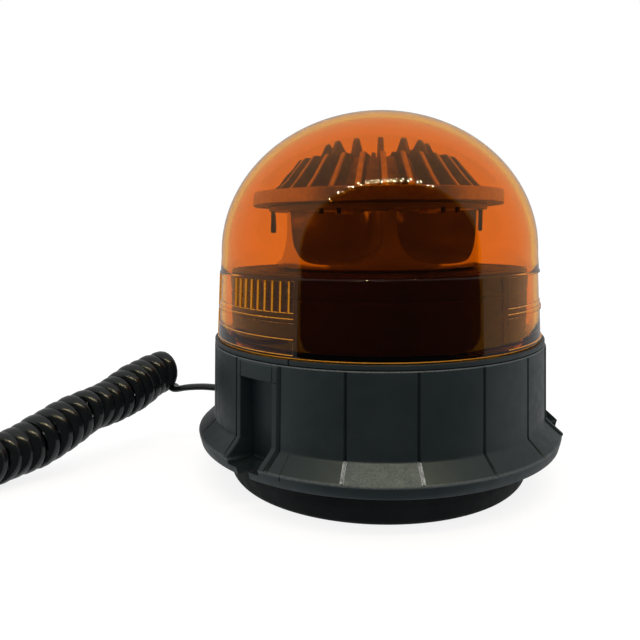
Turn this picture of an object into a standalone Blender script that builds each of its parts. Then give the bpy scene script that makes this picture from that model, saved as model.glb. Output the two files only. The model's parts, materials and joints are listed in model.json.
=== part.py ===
"""Amber LED warning beacon with a magnetic foot and a curly 12 V lead, as separate solids.

Frame: origin at the centre of the foot on the ground, +Z up, -Y towards the front.
Angles about Z are in degrees from -Y, positive towards +X. Lengths below are in millimetres
and become metres in the helpers.
"""

import math

import bmesh
import bpy
from mathutils import Matrix, Vector

MM = 0.001
GAP = 0.3  # between neighbours

# Moulded base
RIM_FOOT = (74.1, 15.0)  # (radius, height)
SKIRT_FOOT = (75.0, 19.4)
WALL_FOOT = (68.5, 25.3)
WALL_TOP = (67.3, 53.6)
WALL = 2.4
FLOOR_TOP = 18.0
LEDGE_IN = 59.2
LEDGE_TOP = 50.2
BASE_STEPS = 60

# Six grooves in each third of the base: two beside a bolt pocket, four between panels
THIRD = 120.0
PANEL = 20.14
POCKET_SPAN = THIRD - 5 * PANEL
FIRST_GROOVE = -52.97
POCKET_ANGLES = [FIRST_GROOVE + POCKET_SPAN / 2 + THIRD * i for i in range(3)]
GROOVE_WIDTH = 1.3
GROOVE_DEPTH = 0.9
POCKET_WIDTH = 16.4
POCKET_BACK = 62.2
POCKET_TOP = 48.6
POCKET_FLOOR = 17.6
POCKET_FRAME = 2.6
BOLT_SLOT = 6.4

# Magnetic foot
BOOT_FOOT_R = 61.8
BOOT_TOP = (64.0, 14.7)
BOOT_HOLE = 30.0
MAGNET = (26.0, 57.3, 2.3, 11.8)  # inner radius, outer radius, bottom, top
PLATE = (57.4, 12.1, 14.7)

# Lock ring and dome
RING_BOTTOM = WALL_TOP[1] + GAP
RING_TOP = 56.9
DOME_FOOT = (66.1, RING_TOP + GAP)
DOME_STEP = (64.4, 83.5)
DOME_SHOULDER = (63.5, 89.7)
DOME_HEIGHT = 56.0  # of the half ellipse above the shoulder
DOME_WALL = 2.4
SPIGOT_R = 62.9
SPIGOT_BOTTOM = 51.8
DOME_STEPS = 40

# Drum, light head and heat sink
DRUM_R = 60.0
DRUM_TOP = 84.0
DRUM_FOOT = 47.6
DRUM_FLANGE_IN = 46.0
POST_RADIUS = 51.0  # distance of the drum posts from the axis
POST_TOP = DRUM_FOOT - GAP
REFLECTOR = (84.3, 106.4)
SCOOPS = 6
SCOOP_CENTRE = 40.5
SCOOP_R = 19.0
SCOOP_ARC = 75.0  # half the angle of a scoop's arc
SCOOP_PHASE = 2.5
LED_RADIUS = 31.0
LED_BOARD = (44.0, 107.0, 108.6)
SINK_DISC = (50.3, 108.9, 113.8)
SINK_TOP = 125.7
SINK_SLOPE = (34.5, 26.0)  # radius of the cone between the fins, at its foot and its top
FINS = 28
FIN_THICK = 1.8
FIN_PHASE = -1.2
FIN_TOP = 126.8
TIP_TOP = 133.2
STUD_R = 2.5
STUD_SPAN = (74.0, 121.0)
STUD_BORE = (105.0, 122.0)
STUD_HOLE = 2.9
WIRE_HOLE_Y = 10.0

# Driver board in the base
BOARD = (42.0, 30.0, 31.6)
BOARD_POST_RADIUS = 36.0

# Cord
CORE_D = 3.4  # inside the base, where the flat jacket is stripped
LEAD_WIDE = 5.0
LEAD_THICK = 2.8
COIL_OD = 19.1
EXIT_ANGLE = FIRST_GROOVE - 2.5 * PANEL
EXIT_HEIGHT = 28.6
GROMMET_END = 72.9
LEAD_ROUTE = [
    (-71.3, 16.9, 28.6),
    (-77.5, 18.0, 28.8),
    (-84.5, 19.2, 28.3),
    (-89.8, 20.6, 27.2),
]
COIL_ROUTE = [
    (-96.4, 27.0, 34.7),
    (-101.9, 22.5, 33.2),
    (-107.7, 16.5, 30.0),
    (-113.3, 10.5, 26.8),
    (-118.7, 5.0, 24.6),
    (-124.0, 0.0, 23.4),
    (-129.1, -5.0, 21.5),
    (-134.2, -9.5, 18.6),
    (-139.3, -13.5, 15.9),
    (-144.2, -17.5, 13.6),
    (-149.1, -21.0, 11.8),
    (-153.6, -25.5, 10.7),
    (-160.5, -34.0, 9.9),
    (-167.5, -49.0, 9.8),
]
COIL_TURN_CENTRE = (-208.0, -68.0)
COIL_TURN_R = 35.0
COIL_REST = 9.8  # height of the coil's centre line where it lies on the ground
TAIL_START_Z = 2.1
PLUG_X = -247.0
PLUG_START_Y = 14.0
PLUG_Z = 13.0

# Plug, along its own axis from the cord end to the tip
RELIEF_LENGTH = 22.0
GRIP = (12.6, 22.3, 50.0)  # radius, start, end
BARREL = (10.3, 74.0)  # radius, end
PLUG_WALL = 1.9
NOSE_END = 84.0
TIP_END = 88.0
ROCKER = (12.0, 6.6, 36.0)  # length, width, centre


def collection(name):
    made = bpy.data.collections.new(name)
    bpy.context.scene.collection.children.link(made)
    return made


def clear_scene():
    for obj in list(bpy.data.objects):
        bpy.data.objects.remove(obj)


clear_scene()
PARTS = collection("led_beacon")
CUTTERS = collection("cutters")


def finish(name, colour, roughness, metallic=0.0, alpha=1.0):
    made = bpy.data.materials.new(name)
    made.use_nodes = True
    shader = made.node_tree.nodes["Principled BSDF"]
    shader.inputs["Base Color"].default_value = (*colour, 1)
    shader.inputs["Roughness"].default_value = roughness
    shader.inputs["Metallic"].default_value = metallic
    shader.inputs["Alpha"].default_value = alpha
    return made


FINISHES = {
    "abs": ((0.020, 0.022, 0.024), 0.45, 0.0),
    "rubber": ((0.008, 0.008, 0.009), 0.7, 0.0),
    "amber": ((0.85, 0.25, 0.01), 0.05, 0.0, 0.45),
    "ferrite": ((0.06, 0.06, 0.065), 0.6, 0.0),
    "steel": ((0.55, 0.56, 0.58), 0.35, 1.0),
    "chrome": ((0.85, 0.85, 0.86), 0.08, 1.0),
    "cast": ((0.16, 0.16, 0.17), 0.5, 0.8),
    "board": ((0.02, 0.16, 0.06), 0.4, 0.0),
    "white_board": ((0.8, 0.8, 0.78), 0.4, 0.0),
    "led": ((0.85, 0.75, 0.3), 0.2, 0.0),
    "component": ((0.03, 0.03, 0.04), 0.4, 0.0),
    "copper": ((0.6, 0.28, 0.12), 0.3, 1.0),
    "terminal": ((0.05, 0.25, 0.12), 0.4, 0.0),
    "cord": ((0.010, 0.010, 0.012), 0.3, 0.0),
    "brass": ((0.7, 0.5, 0.2), 0.3, 1.0),
    "glass": ((0.8, 0.85, 0.85), 0.05, 0.0, 0.4),
    "red": ((0.5, 0.02, 0.02), 0.3, 0.0),
}


def material(kind, name):
    return finish(name, *FINISHES[kind])


def add(name, mesh, kind, where=PARTS):
    """Links a mesh as the named object, shaded smooth except at sharp edges."""
    obj = bpy.data.objects.new(name, mesh)
    where.objects.link(obj)
    mesh.shade_smooth()
    mesh.set_sharp_from_angle(angle=math.radians(35))
    if where is PARTS:
        mesh.materials.append(material(kind, name))
    else:
        obj.hide_render = True
        obj.display_type = "WIRE"
    return obj


def mesh_of(made, name):
    mesh = bpy.data.meshes.new(name)
    made.to_mesh(mesh)
    made.free()
    return mesh


def turned(name, profile, kind, steps=24, ring=True, where=PARTS):
    """Turns a profile of (radius, height) about Z. It runs down its outer side."""
    made = bmesh.new()
    points = [made.verts.new((r * MM, 0, z * MM)) for r, z in profile]
    pairs = list(zip(points, points[1:]))
    if ring:
        pairs.append((points[-1], points[0]))
    for pair in pairs:
        made.edges.new(pair)
    obj = add(name, mesh_of(made, name), kind, where)
    screw = obj.modifiers.new("Screw", "SCREW")
    screw.steps = steps
    screw.render_steps = steps
    screw.use_merge_vertices = True
    screw.merge_threshold = 0.00005
    screw.use_smooth_shade = True
    return obj


def box_mesh(name, size, centre=(0, 0, 0), bevel=0.0):
    made = bmesh.new()
    bmesh.ops.create_cube(made, size=1)
    bmesh.ops.scale(made, vec=Vector(size) * MM, verts=made.verts)
    if bevel:
        bmesh.ops.bevel(made, geom=made.edges[:], offset=bevel * MM, segments=1, affect="EDGES")
    bmesh.ops.translate(made, vec=Vector(centre) * MM, verts=made.verts)
    return mesh_of(made, name)


def rod_mesh(name, radius, bottom, top, sides=24, centre=(0, 0)):
    made = bmesh.new()
    bmesh.ops.create_cone(
        made, cap_ends=True, segments=sides, radius1=radius * MM, radius2=radius * MM,
        depth=(top - bottom) * MM,
    )
    shift = Vector((centre[0], centre[1], (top + bottom) / 2)) * MM
    bmesh.ops.translate(made, vec=shift, verts=made.verts)
    return mesh_of(made, name)


def around(distance, angle):
    """The (x, y) at this distance from the axis, at an angle from -Y."""
    turn = math.radians(angle)
    return (distance * math.sin(turn), -distance * math.cos(turn))


def facing(angle):
    """A turn about Z that takes +X to the outward direction at this angle."""
    return math.radians(angle - 90)


def boolean(obj, other, operation="DIFFERENCE"):
    step = obj.modifiers.new(operation.title(), "BOOLEAN")
    step.operation = operation
    step.object = other
    step.solver = "EXACT"
    return step


def cutter(name, mesh, angle=None):
    obj = add(name, mesh, None, CUTTERS)
    if angle is not None:
        obj.rotation_euler.z = facing(angle)
    return obj


def joined(name, meshes):
    """One mesh of several separate closed shells, each with its own matrix."""
    made = bmesh.new()
    for mesh, matrix in meshes:
        mesh.transform(matrix)
        made.from_mesh(mesh)
        bpy.data.meshes.remove(mesh)
    return mesh_of(made, name)


def turn_to(angle):
    return Matrix.Rotation(facing(angle), 4, "Z")


def extruded(name, outline, thickness):
    """A prism of an (x, z) outline, centred on the XZ plane."""
    made = bmesh.new()
    half = thickness * MM / 2
    face = made.faces.new([made.verts.new((x * MM, -half, z * MM)) for x, z in outline])
    out = bmesh.ops.extrude_face_region(made, geom=[face])
    moved = [g for g in out["geom"] if isinstance(g, bmesh.types.BMVert)]
    bmesh.ops.translate(made, vec=(0, 2 * half, 0), verts=moved)
    bmesh.ops.recalc_face_normals(made, faces=made.faces)
    return mesh_of(made, name)


# Magnetic foot


def rubber_boot():
    top_r, top_z = BOOT_TOP
    profile = [
        (top_r, top_z), (63.4, 8.0), (BOOT_FOOT_R, 1.2), (BOOT_FOOT_R - 1.2, 0.0),
        (BOOT_HOLE, 0.0), (BOOT_HOLE, 2.0), (57.7, 2.0), (57.9, top_z),
    ]
    turned("rubber_boot", profile, "rubber", BASE_STEPS)


def ring_magnet():
    inner, outer, bottom, top = MAGNET
    profile = [
        (outer - 0.8, top), (outer, top - 0.8), (outer, bottom + 0.8), (outer - 0.8, bottom),
        (inner, bottom), (inner, top),
    ]
    turned("ring_magnet", profile, "ferrite", DOME_STEPS)


def steel_plate():
    outer, bottom, top = PLATE
    profile = [(outer, top), (outer, bottom), (4.5, bottom), (4.5, top)]
    plate = turned("steel_plate", profile, "steel", DOME_STEPS)
    holes = [
        (rod_mesh("hole", 2.1, bottom - 1, top + 1, 12, (40, 0)), turn_to(angle))
        for angle in plate_screw_angles()
    ]
    boolean(plate, cutter("plate_holes", joined("plate_holes", holes)))


def plate_screw_angles():
    return [angle + THIRD / 2 for angle in POCKET_ANGLES]


def screw(name, head_r, head_h, shank_r, length, kind="steel", sides=16):
    """A pan head screw whose head sits on z = 0, with its shank pointing down."""
    profile = [
        (0, head_h), (head_r * 0.7, head_h), (head_r, head_h * 0.45), (head_r, 0),
        (shank_r, 0), (shank_r, -length), (0, -length),
    ]
    return turned(name, profile, kind, sides, ring=False)


def plate_screws():
    for i, angle in enumerate(plate_screw_angles(), 1):
        obj = screw(f"plate_screw_{i}", 3.8, 2.4, 1.8, 5.6)
        x, y = around(40, angle)
        obj.location = (x * MM, y * MM, (FLOOR_TOP + GAP) * MM)


def centre_bolt():
    profile = [
        (0, 24.0), (3.9, 24.0), (3.9, 11.8), (8.0, 11.8), (8.0, 9.4), (6.0, 7.4), (0, 7.4),
    ]
    turned("centre_bolt", profile, "steel", 20, ring=False)


def centre_washer():
    profile = [(9.0, 19.9), (9.0, 18.3), (4.3, 18.3), (4.3, 19.9)]
    turned("centre_washer", profile, "steel", 24)


def hex_nut(name, corner_r, hole_r, bottom, top):
    nut = add(name, rod_mesh(name, corner_r, bottom, top, 6), "steel")
    boolean(nut, cutter(name + "_hole", rod_mesh(name + "_hole", hole_r, bottom - 1, top + 1, 20)))


# Base housing


def base_profile():
    inner_top = WALL_TOP[0] - 2.1
    inner_foot = WALL_FOOT[0] - WALL
    return [
        WALL_TOP, WALL_FOOT, SKIRT_FOOT, RIM_FOOT, (71.9, RIM_FOOT[1]), (72.4, 18.4),
        (67.6, 22.6), (66.8, RIM_FOOT[1]), (4.5, RIM_FOOT[1]), (4.5, FLOOR_TOP),
        (inner_foot, FLOOR_TOP), (inner_top, LEDGE_TOP - 2.7), (LEDGE_IN, LEDGE_TOP - 2.7),
        (LEDGE_IN, LEDGE_TOP), (inner_top, LEDGE_TOP), (inner_top, WALL_TOP[1]),
    ]


def groove_outline():
    """Follows the wall and the skirt, a groove's depth inside them and a little outside."""
    depth = GROOVE_DEPTH
    return [
        (WALL_TOP[0] - depth, WALL_TOP[1] - 1.6), (WALL_FOOT[0] - depth, WALL_FOOT[1] - 0.5),
        (SKIRT_FOOT[0] - 2 * depth, SKIRT_FOOT[1] + 0.6), (SKIRT_FOOT[0] + 1, SKIRT_FOOT[1] + 1.2),
        (WALL_FOOT[0] + 1, WALL_FOOT[1] + 1.0), (WALL_TOP[0] + 1.5, WALL_TOP[1] - 1.6),
    ]


def groove_angles():
    steps = [0, POCKET_SPAN] + [POCKET_SPAN + PANEL * k for k in range(1, 5)]
    return [FIRST_GROOVE + THIRD * i + step for i in range(3) for step in steps]


def pocket_blocks():
    """Solid backing behind and below each bolt pocket."""
    width = POCKET_WIDTH + 2 * POCKET_FRAME
    back_depth = 66.2 - (POCKET_BACK - WALL)
    low_depth = 71.5 - (POCKET_BACK - WALL)
    blocks = []
    for angle in POCKET_ANGLES:
        high = box_mesh(
            "high", (back_depth, width, LEDGE_TOP - 1.7 - 16),
            (66.2 - back_depth / 2, 0, (LEDGE_TOP - 1.7 + 16) / 2),
        )
        low = box_mesh(
            "low", (low_depth, width, 20 - RIM_FOOT[1]),
            (71.5 - low_depth / 2, 0, (20 + RIM_FOOT[1]) / 2),
        )
        blocks.append((high, low, angle))
    return blocks


def base_housing():
    base = turned("base_housing", base_profile(), "abs", BASE_STEPS)
    blocks = pocket_blocks()
    high = [(high, turn_to(angle)) for high, low, angle in blocks]
    low = [(low, turn_to(angle)) for high, low, angle in blocks]
    boolean(base, cutter("pocket_backs", joined("pocket_backs", high)), "UNION")
    boolean(base, cutter("pocket_feet", joined("pocket_feet", low)), "UNION")
    posts = [
        (rod_mesh("post", 5.0, 17.0, POST_TOP, 16, (POST_RADIUS, 0)), turn_to(angle))
        for angle in POCKET_ANGLES
    ]
    posts += [
        (rod_mesh("post", 3.2, 17.0, BOARD[1] - GAP, 12, (BOARD_POST_RADIUS, 0)), turn_to(angle))
        for angle in POCKET_ANGLES
    ]
    boolean(base, cutter("posts", joined("posts", posts)), "UNION")
    recess = [
        (
            box_mesh(
                "recess", (20, POCKET_WIDTH, POCKET_TOP - POCKET_FLOOR),
                (POCKET_BACK + 10, 0, (POCKET_TOP + POCKET_FLOOR) / 2),
            ),
            turn_to(angle),
        )
        for angle in POCKET_ANGLES
    ]
    boolean(base, cutter("recesses", joined("recesses", recess)))
    slots = [
        (box_mesh("slot", (14, BOLT_SLOT, 6), (67.5 + 7, 0, 16)), turn_to(angle))
        for angle in POCKET_ANGLES
    ]
    slot_ends = [
        (rod_mesh("slot_end", BOLT_SLOT / 2, 13, 19, 16, (67.5, 0)), turn_to(angle))
        for angle in POCKET_ANGLES
    ]
    boolean(base, cutter("slots", joined("slots", slots)))
    boolean(base, cutter("slot_ends", joined("slot_ends", slot_ends)))
    grooves = [
        (extruded("groove", groove_outline(), GROOVE_WIDTH), turn_to(angle))
        for angle in groove_angles()
    ]
    boolean(base, cutter("grooves", joined("grooves", grooves)))
    bores = [
        (rod_mesh("bore", 3.7, 14, 40, 12, (POST_RADIUS, 0)), turn_to(angle))
        for angle in POCKET_ANGLES
    ]
    boolean(base, cutter("counterbores", joined("counterbores", bores)))
    narrow = [
        (rod_mesh("narrow", 2.1, 39, 60, 12, (POST_RADIUS, 0)), turn_to(angle))
        for angle in POCKET_ANGLES
    ]
    narrow += [
        (rod_mesh("narrow", 1.6, 22, 40, 12, (BOARD_POST_RADIUS, 0)), turn_to(angle))
        for angle in POCKET_ANGLES
    ]
    narrow += [
        (rod_mesh("narrow", 2.1, 13, 20, 12, (40, 0)), turn_to(angle))
        for angle in plate_screw_angles()
    ]
    boolean(base, cutter("screw_holes", joined("screw_holes", narrow)))
    exit_hole = rod_mesh("exit_hole", 2.7, 60, 80, 16)
    exit_hole.transform(Matrix.Rotation(math.pi / 2, 4, "Y"))
    exit_hole.transform(turn_to(EXIT_ANGLE))
    exit_hole.transform(Matrix.Translation((0, 0, EXIT_HEIGHT * MM)))
    boolean(base, cutter("exit_hole", exit_hole))


def lock_ring():
    outer = WALL_TOP[0] - 0.2
    skirt = 64.8
    inner = SPIGOT_R + 0.4
    profile = [
        (outer, RING_TOP), (outer + 0.1, RING_BOTTOM), (skirt, RING_BOTTOM),
        (skirt, LEDGE_TOP + GAP), (inner, LEDGE_TOP + GAP), (inner, RING_TOP),
    ]
    ring = turned("lock_ring", profile, "abs", BASE_STEPS)
    notch = box_mesh("ring_notch", (4, 1.0, 8), (outer + 1.2, 0, RING_TOP - 1))
    boolean(ring, cutter("ring_notch", notch, -30.8))


def dome_seal():
    profile = [
        (SPIGOT_R, SPIGOT_BOTTOM - GAP), (SPIGOT_R, LEDGE_TOP + GAP), (60.7, LEDGE_TOP + GAP),
        (60.7, SPIGOT_BOTTOM - GAP),
    ]
    turned("dome_seal", profile, "rubber", DOME_STEPS)


def half_ellipse(radius, height, base, count):
    """Points from the top of the ellipse down to its widest place, both ends included."""
    points = []
    for i in range(count + 1):
        turn = math.pi / 2 * (1 - i / count)
        points.append((radius * math.cos(turn), base + height * math.sin(turn)))
    points[0] = (0.0, base + height)
    return points


def dome_lens():
    shoulder_r, shoulder_z = DOME_SHOULDER
    outer = half_ellipse(shoulder_r, DOME_HEIGHT, shoulder_z, 8)
    outer += [(DOME_STEP[0] - 0.3, DOME_STEP[1] + 0.3), DOME_STEP, DOME_FOOT]
    outer += [(SPIGOT_R, DOME_FOOT[1]), (SPIGOT_R, SPIGOT_BOTTOM)]
    spigot_in = SPIGOT_R - 2.2
    inner = [(spigot_in, SPIGOT_BOTTOM), (spigot_in, DOME_FOOT[1]), (DOME_FOOT[0] - 2.8, 60.2)]
    inner.append((DOME_STEP[0] - DOME_WALL, DOME_STEP[1]))
    inside = half_ellipse(shoulder_r - DOME_WALL, DOME_HEIGHT - DOME_WALL, shoulder_z, 6)
    turned("dome_lens", outer + inner + inside[::-1], "amber", DOME_STEPS, ring=False)


# Drum and light head


def inner_drum():
    inner = DRUM_R - WALL
    profile = [
        (STUD_HOLE, DRUM_TOP), (DRUM_R - 1.2, DRUM_TOP), (DRUM_R, DRUM_TOP - 1.2), (DRUM_R, 52.8),
        (58.6, 52.0), (58.6, DRUM_FOOT), (DRUM_FLANGE_IN, DRUM_FOOT), (DRUM_FLANGE_IN, 50.1),
        (56.2, 50.1), (inner, 53.0), (inner, DRUM_TOP - WALL), (STUD_HOLE, DRUM_TOP - WALL),
    ]
    drum = turned("inner_drum", profile, "abs", DOME_STEPS)
    holes = [
        (rod_mesh("hole", 2.1, 40, 52, 12, (POST_RADIUS, 0)), turn_to(angle))
        for angle in POCKET_ANGLES
    ]
    wire = rod_mesh("wire", 1.9, 78, 90, 12, (0, WIRE_HOLE_Y))
    holes.append((wire, Matrix.Identity(4)))
    boolean(drum, cutter("drum_holes", joined("drum_holes", holes)))


def drum_screws():
    """Screws that come up from under the base, heads down, through its posts."""
    for i, angle in enumerate(POCKET_ANGLES, 1):
        obj = screw(f"drum_screw_{i}", 3.3, 2.4, 1.8, 11.5)
        obj.rotation_euler.x = math.pi
        x, y = around(POST_RADIUS, angle)
        obj.location = (x * MM, y * MM, (40 - GAP) * MM)


def reflector():
    """A star prism whose six hollow sides are arcs between ridges."""
    hub = math.radians(SCOOP_PHASE - 90 + 180 / SCOOPS)
    outline = []
    for i in range(SCOOPS):
        middle = hub + 2 * math.pi * i / SCOOPS
        for k in range(9):
            turn = math.radians(SCOOP_ARC * (k / 4 - 1))
            reach = SCOOP_CENTRE - SCOOP_R * math.cos(turn)
            point = Vector((reach, SCOOP_R * math.sin(turn)))
            point.rotate(Matrix.Rotation(middle, 2))
            outline.append(point)
    made = bmesh.new()
    bottom, top = REFLECTOR
    face = made.faces.new([made.verts.new((p.x * MM, p.y * MM, bottom * MM)) for p in outline])
    out = bmesh.ops.extrude_face_region(made, geom=[face])
    moved = [g for g in out["geom"] if isinstance(g, bmesh.types.BMVert)]
    bmesh.ops.translate(made, vec=(0, 0, (top - bottom) * MM), verts=moved)
    bmesh.ops.recalc_face_normals(made, faces=made.faces)
    star = add("reflector", mesh_of(made, "reflector"), "chrome")
    holes = [
        (rod_mesh("stud", STUD_HOLE, 80, 110, 16), Matrix.Identity(4)),
        (rod_mesh("wire", 1.9, 80, 110, 12, (0, WIRE_HOLE_Y)), Matrix.Identity(4)),
    ]
    boolean(star, cutter("reflector_holes", joined("reflector_holes", holes)))


def led_board():
    outer, bottom, top = LED_BOARD
    profile = [(outer, top), (outer, bottom), (STUD_HOLE, bottom), (STUD_HOLE, top)]
    turned("led_board", profile, "white_board", DOME_STEPS)


def leds():
    top = LED_BOARD[1] - GAP
    for i in range(SCOOPS):
        name = f"led_{i + 1}"
        x, y = around(LED_RADIUS, SCOOP_PHASE + 30 + 60 * i)
        obj = add(name, box_mesh(name, (5, 5, 1.6), (0, 0, -0.8), 0.3), "led")
        obj.location = (x * MM, y * MM, top * MM)
        obj.rotation_euler.z = facing(SCOOP_PHASE + 30 + 60 * i)


def heat_sink():
    outer, bottom, top = SINK_DISC
    slope_foot, slope_top = SINK_SLOPE
    profile = [
        (0, SINK_TOP), (slope_top, SINK_TOP), (slope_foot, top), (outer - 0.8, top),
        (outer, top - 0.8), (outer, bottom), (0, bottom),
    ]
    sink = turned("heat_sink", profile, "cast", 44, ring=False)
    edge = [(42.0, top - 1), (39.0, top + 4.0), (32.0, FIN_TOP)]
    tip = [(23.0, FIN_TOP), (21.0, TIP_TOP), (17.5, TIP_TOP), (13.5, FIN_TOP)]
    inside = [(12.0, FIN_TOP), (12.0, top - 1)]
    fins = []
    for i in range(FINS):
        outline = edge + inside if i % 2 else edge + tip + inside
        fins.append((extruded("fin", outline, FIN_THICK), turn_to(FIN_PHASE + 360 / FINS * i)))
    boolean(sink, cutter("fins", joined("fins", fins)), "UNION")
    boolean(sink, cutter("sink_bore", rod_mesh("sink_bore", STUD_HOLE, *STUD_BORE, 16)))


def head_stud():
    add("head_stud", rod_mesh("head_stud", STUD_R, *STUD_SPAN, 14), "steel")


def led_lead():
    add("led_lead", rod_mesh("led_lead", 1.3, 33.6, LED_BOARD[1] - GAP, 10, (0, WIRE_HOLE_Y)), "red")


# Driver board


def driver_board():
    outer, bottom, top = BOARD
    board = add("driver_board", rod_mesh("driver_board", outer, bottom, top, DOME_STEPS), "board")
    holes = [
        (rod_mesh("hole", 1.9, bottom - 1, top + 1, 12, (BOARD_POST_RADIUS, 0)), turn_to(angle))
        for angle in POCKET_ANGLES
    ]
    boolean(board, cutter("board_holes", joined("board_holes", holes)))


def board_screws():
    for i, angle in enumerate(POCKET_ANGLES, 1):
        obj = screw(f"board_screw_{i}", 2.7, 1.9, 1.2, 8.0, sides=12)
        x, y = around(BOARD_POST_RADIUS, angle)
        obj.location = (x * MM, y * MM, (BOARD[2] + GAP) * MM)


def capacitor(name, radius, height, x, y):
    foot = BOARD[2] + GAP
    profile = [
        (0, height), (radius - 0.6, height), (radius, height - 0.6), (radius, 0), (0, 0),
    ]
    obj = turned(name, profile, "component", 20, ring=False)
    obj.location = (x * MM, y * MM, foot * MM)


def choke():
    made = turned("choke", [(8.5, 7.0), (8.5, 0.0), (3.6, 0.0), (3.6, 7.0)], "copper", 24)
    made.location = (14 * MM, 20 * MM, (BOARD[2] + GAP) * MM)


def driver_chip():
    foot = BOARD[2] + GAP
    add("driver_chip", box_mesh("driver_chip", (9, 9, 1.8), (18, -6, foot + 0.9), 0.2), "component")


def terminal_block():
    foot = BOARD[2] + GAP
    block = add(
        "terminal_block", box_mesh("terminal_block", (10, 15, 11), (-32, 8, foot + 5.5), 0.4),
        "terminal",
    )
    doors = [
        (rod_mesh("door", 1.9, foot + 8, foot + 14, 12, (-32, 8 + side * 3.8)), Matrix.Identity(4))
        for side in (-1, 1)
    ]
    boolean(block, cutter("terminal_doors", joined("terminal_doors", doors)))


# Cord


def smooth_route(points, spacing):
    """Points along a Catmull-Rom curve through these, about this far apart."""
    points = [Vector(p) for p in points]
    ends = [2 * points[0] - points[1]] + points + [2 * points[-1] - points[-2]]
    found = []
    for a, b, c, d in zip(ends, ends[1:], ends[2:], ends[3:]):
        count = max(1, round((c - b).length / spacing))
        for i in range(count):
            t = i / count
            found.append(
                0.5 * (2 * b + (c - a) * t + (2 * a - 5 * b + 4 * c - d) * t * t
                       + (3 * b - a - 3 * c + d) * t ** 3)
            )
    return found + [points[-1]]


def tube(name, route, radius, kind, resolution=2):
    curve = bpy.data.curves.new(name, "CURVE")
    curve.dimensions = "3D"
    curve.bevel_depth = radius * MM
    curve.bevel_resolution = resolution
    curve.use_fill_caps = True
    spline = curve.splines.new("POLY")
    spline.points.add(len(route) - 1)
    for point, place in zip(spline.points, route):
        point.co = (*(place * MM), 1)
    curve.materials.append(material(kind, name))
    obj = bpy.data.objects.new(name, curve)
    PARTS.objects.link(obj)
    return obj


def cable_grommet():
    """A tapered grommet with its neck through the wall, turned about the exit's axis."""
    wall = WALL_FOOT[0] - 0.15
    profile = [
        (0, GROMMET_END - 2), (2.5, GROMMET_END - 2), (3.1, wall + 0.45), (3.1, wall + 0.4),
        (2.3, wall + 0.4), (2.3, wall - 3.6), (0, wall - 3.6),
    ]
    obj = turned("cable_grommet", profile, "rubber", 20, ring=False)
    turn = Matrix.Rotation(facing(EXIT_ANGLE), 4, "Z") @ Matrix.Rotation(math.pi / 2, 4, "Y")
    obj.matrix_world = Matrix.Translation((0, 0, EXIT_HEIGHT * MM)) @ turn


def inner_lead():
    x, y = around(WALL_FOOT[0] - 4.1, EXIT_ANGLE)
    route = [
        (x, y, EXIT_HEIGHT), (x + 4.0, y - 0.9, EXIT_HEIGHT + 0.4), (-54.0, 12.6, 31.5),
        (-48.0, 11.0, 35.0), (-42.0, 9.4, 36.6), (-37.4, 8.2, 36.9),
    ]
    tube("inner_lead", smooth_route(route, 4.0), CORE_D / 2, "cord")


def flat_tube(name, route, kind):
    """The flat jacket along a route, its wide side level."""
    sides = 16
    made = bmesh.new()
    rings = []
    for i, place in enumerate(route):
        way = (route[min(i + 1, len(route) - 1)] - route[max(i - 1, 0)]).normalized()
        across = way.cross(Vector((0, 0, 1))).normalized()
        up = across.cross(way)
        ring = []
        for k in range(sides):
            turn = 2 * math.pi * k / sides
            reach = across * (LEAD_WIDE / 2 * math.cos(turn)) + up * (LEAD_THICK / 2 * math.sin(turn))
            ring.append(made.verts.new((place + reach) * MM))
        rings.append(ring)
    for low, high in zip(rings, rings[1:]):
        for k in range(sides):
            after = (k + 1) % sides
            made.faces.new((low[k], low[after], high[after], high[k]))
    made.faces.new(rings[0])
    made.faces.new(rings[-1])
    bmesh.ops.recalc_face_normals(made, faces=made.faces)
    add(name, mesh_of(made, name), kind)


def cord_lead():
    flat_tube("cord_lead", smooth_route(LEAD_ROUTE, 4.0), "cord")


def coil_route():
    """The coil's centre line: the part in view, then a wide half turn back beside itself."""
    x, y = COIL_TURN_CENTRE
    route = list(COIL_ROUTE)
    for i in range(7):
        turn = math.radians(-10 - 160 * i / 6)
        place = (x + COIL_TURN_R * math.cos(turn), y + COIL_TURN_R * math.sin(turn), COIL_REST)
        route.append(place)
    return route + [(x - COIL_TURN_R - 1.5, y + 8.0, COIL_REST)]


def cord_coil():
    tube("cord_coil", smooth_route(coil_route(), 9.0), COIL_OD / 2, "cord", 4)


def tail_route():
    x, y, _ = coil_route()[-1]
    start = y + GAP + 0.1
    return [
        (x, start, TAIL_START_Z), (x - 0.2, start + 12, TAIL_START_Z),
        (x - 0.8, start + 28, TAIL_START_Z + 0.2), (x - 1.8, start + 42, TAIL_START_Z + 2.0),
        (PLUG_X + 0.6, PLUG_START_Y - 14, PLUG_Z - 4.5), (PLUG_X + 0.1, PLUG_START_Y - 6, PLUG_Z - 0.9),
        (PLUG_X, PLUG_START_Y - GAP, PLUG_Z),
    ]


def cord_tail():
    flat_tube("cord_tail", smooth_route(tail_route(), 6.0), "cord")


# Plug, modelled along +Z from the cord end, then laid along +Y


def plug_place():
    lay = Matrix.Rotation(-math.pi / 2, 4, "X")
    return Matrix.Translation(Vector((PLUG_X, PLUG_START_Y, PLUG_Z)) * MM) @ lay


def strain_relief():
    profile = [(0, RELIEF_LENGTH), (5.6, RELIEF_LENGTH), (5.6, 18.0), (2.9, 0.6), (2.6, 0), (0, 0)]
    turned("plug_strain_relief", profile, "rubber", 20, ring=False).matrix_world = plug_place()


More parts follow.
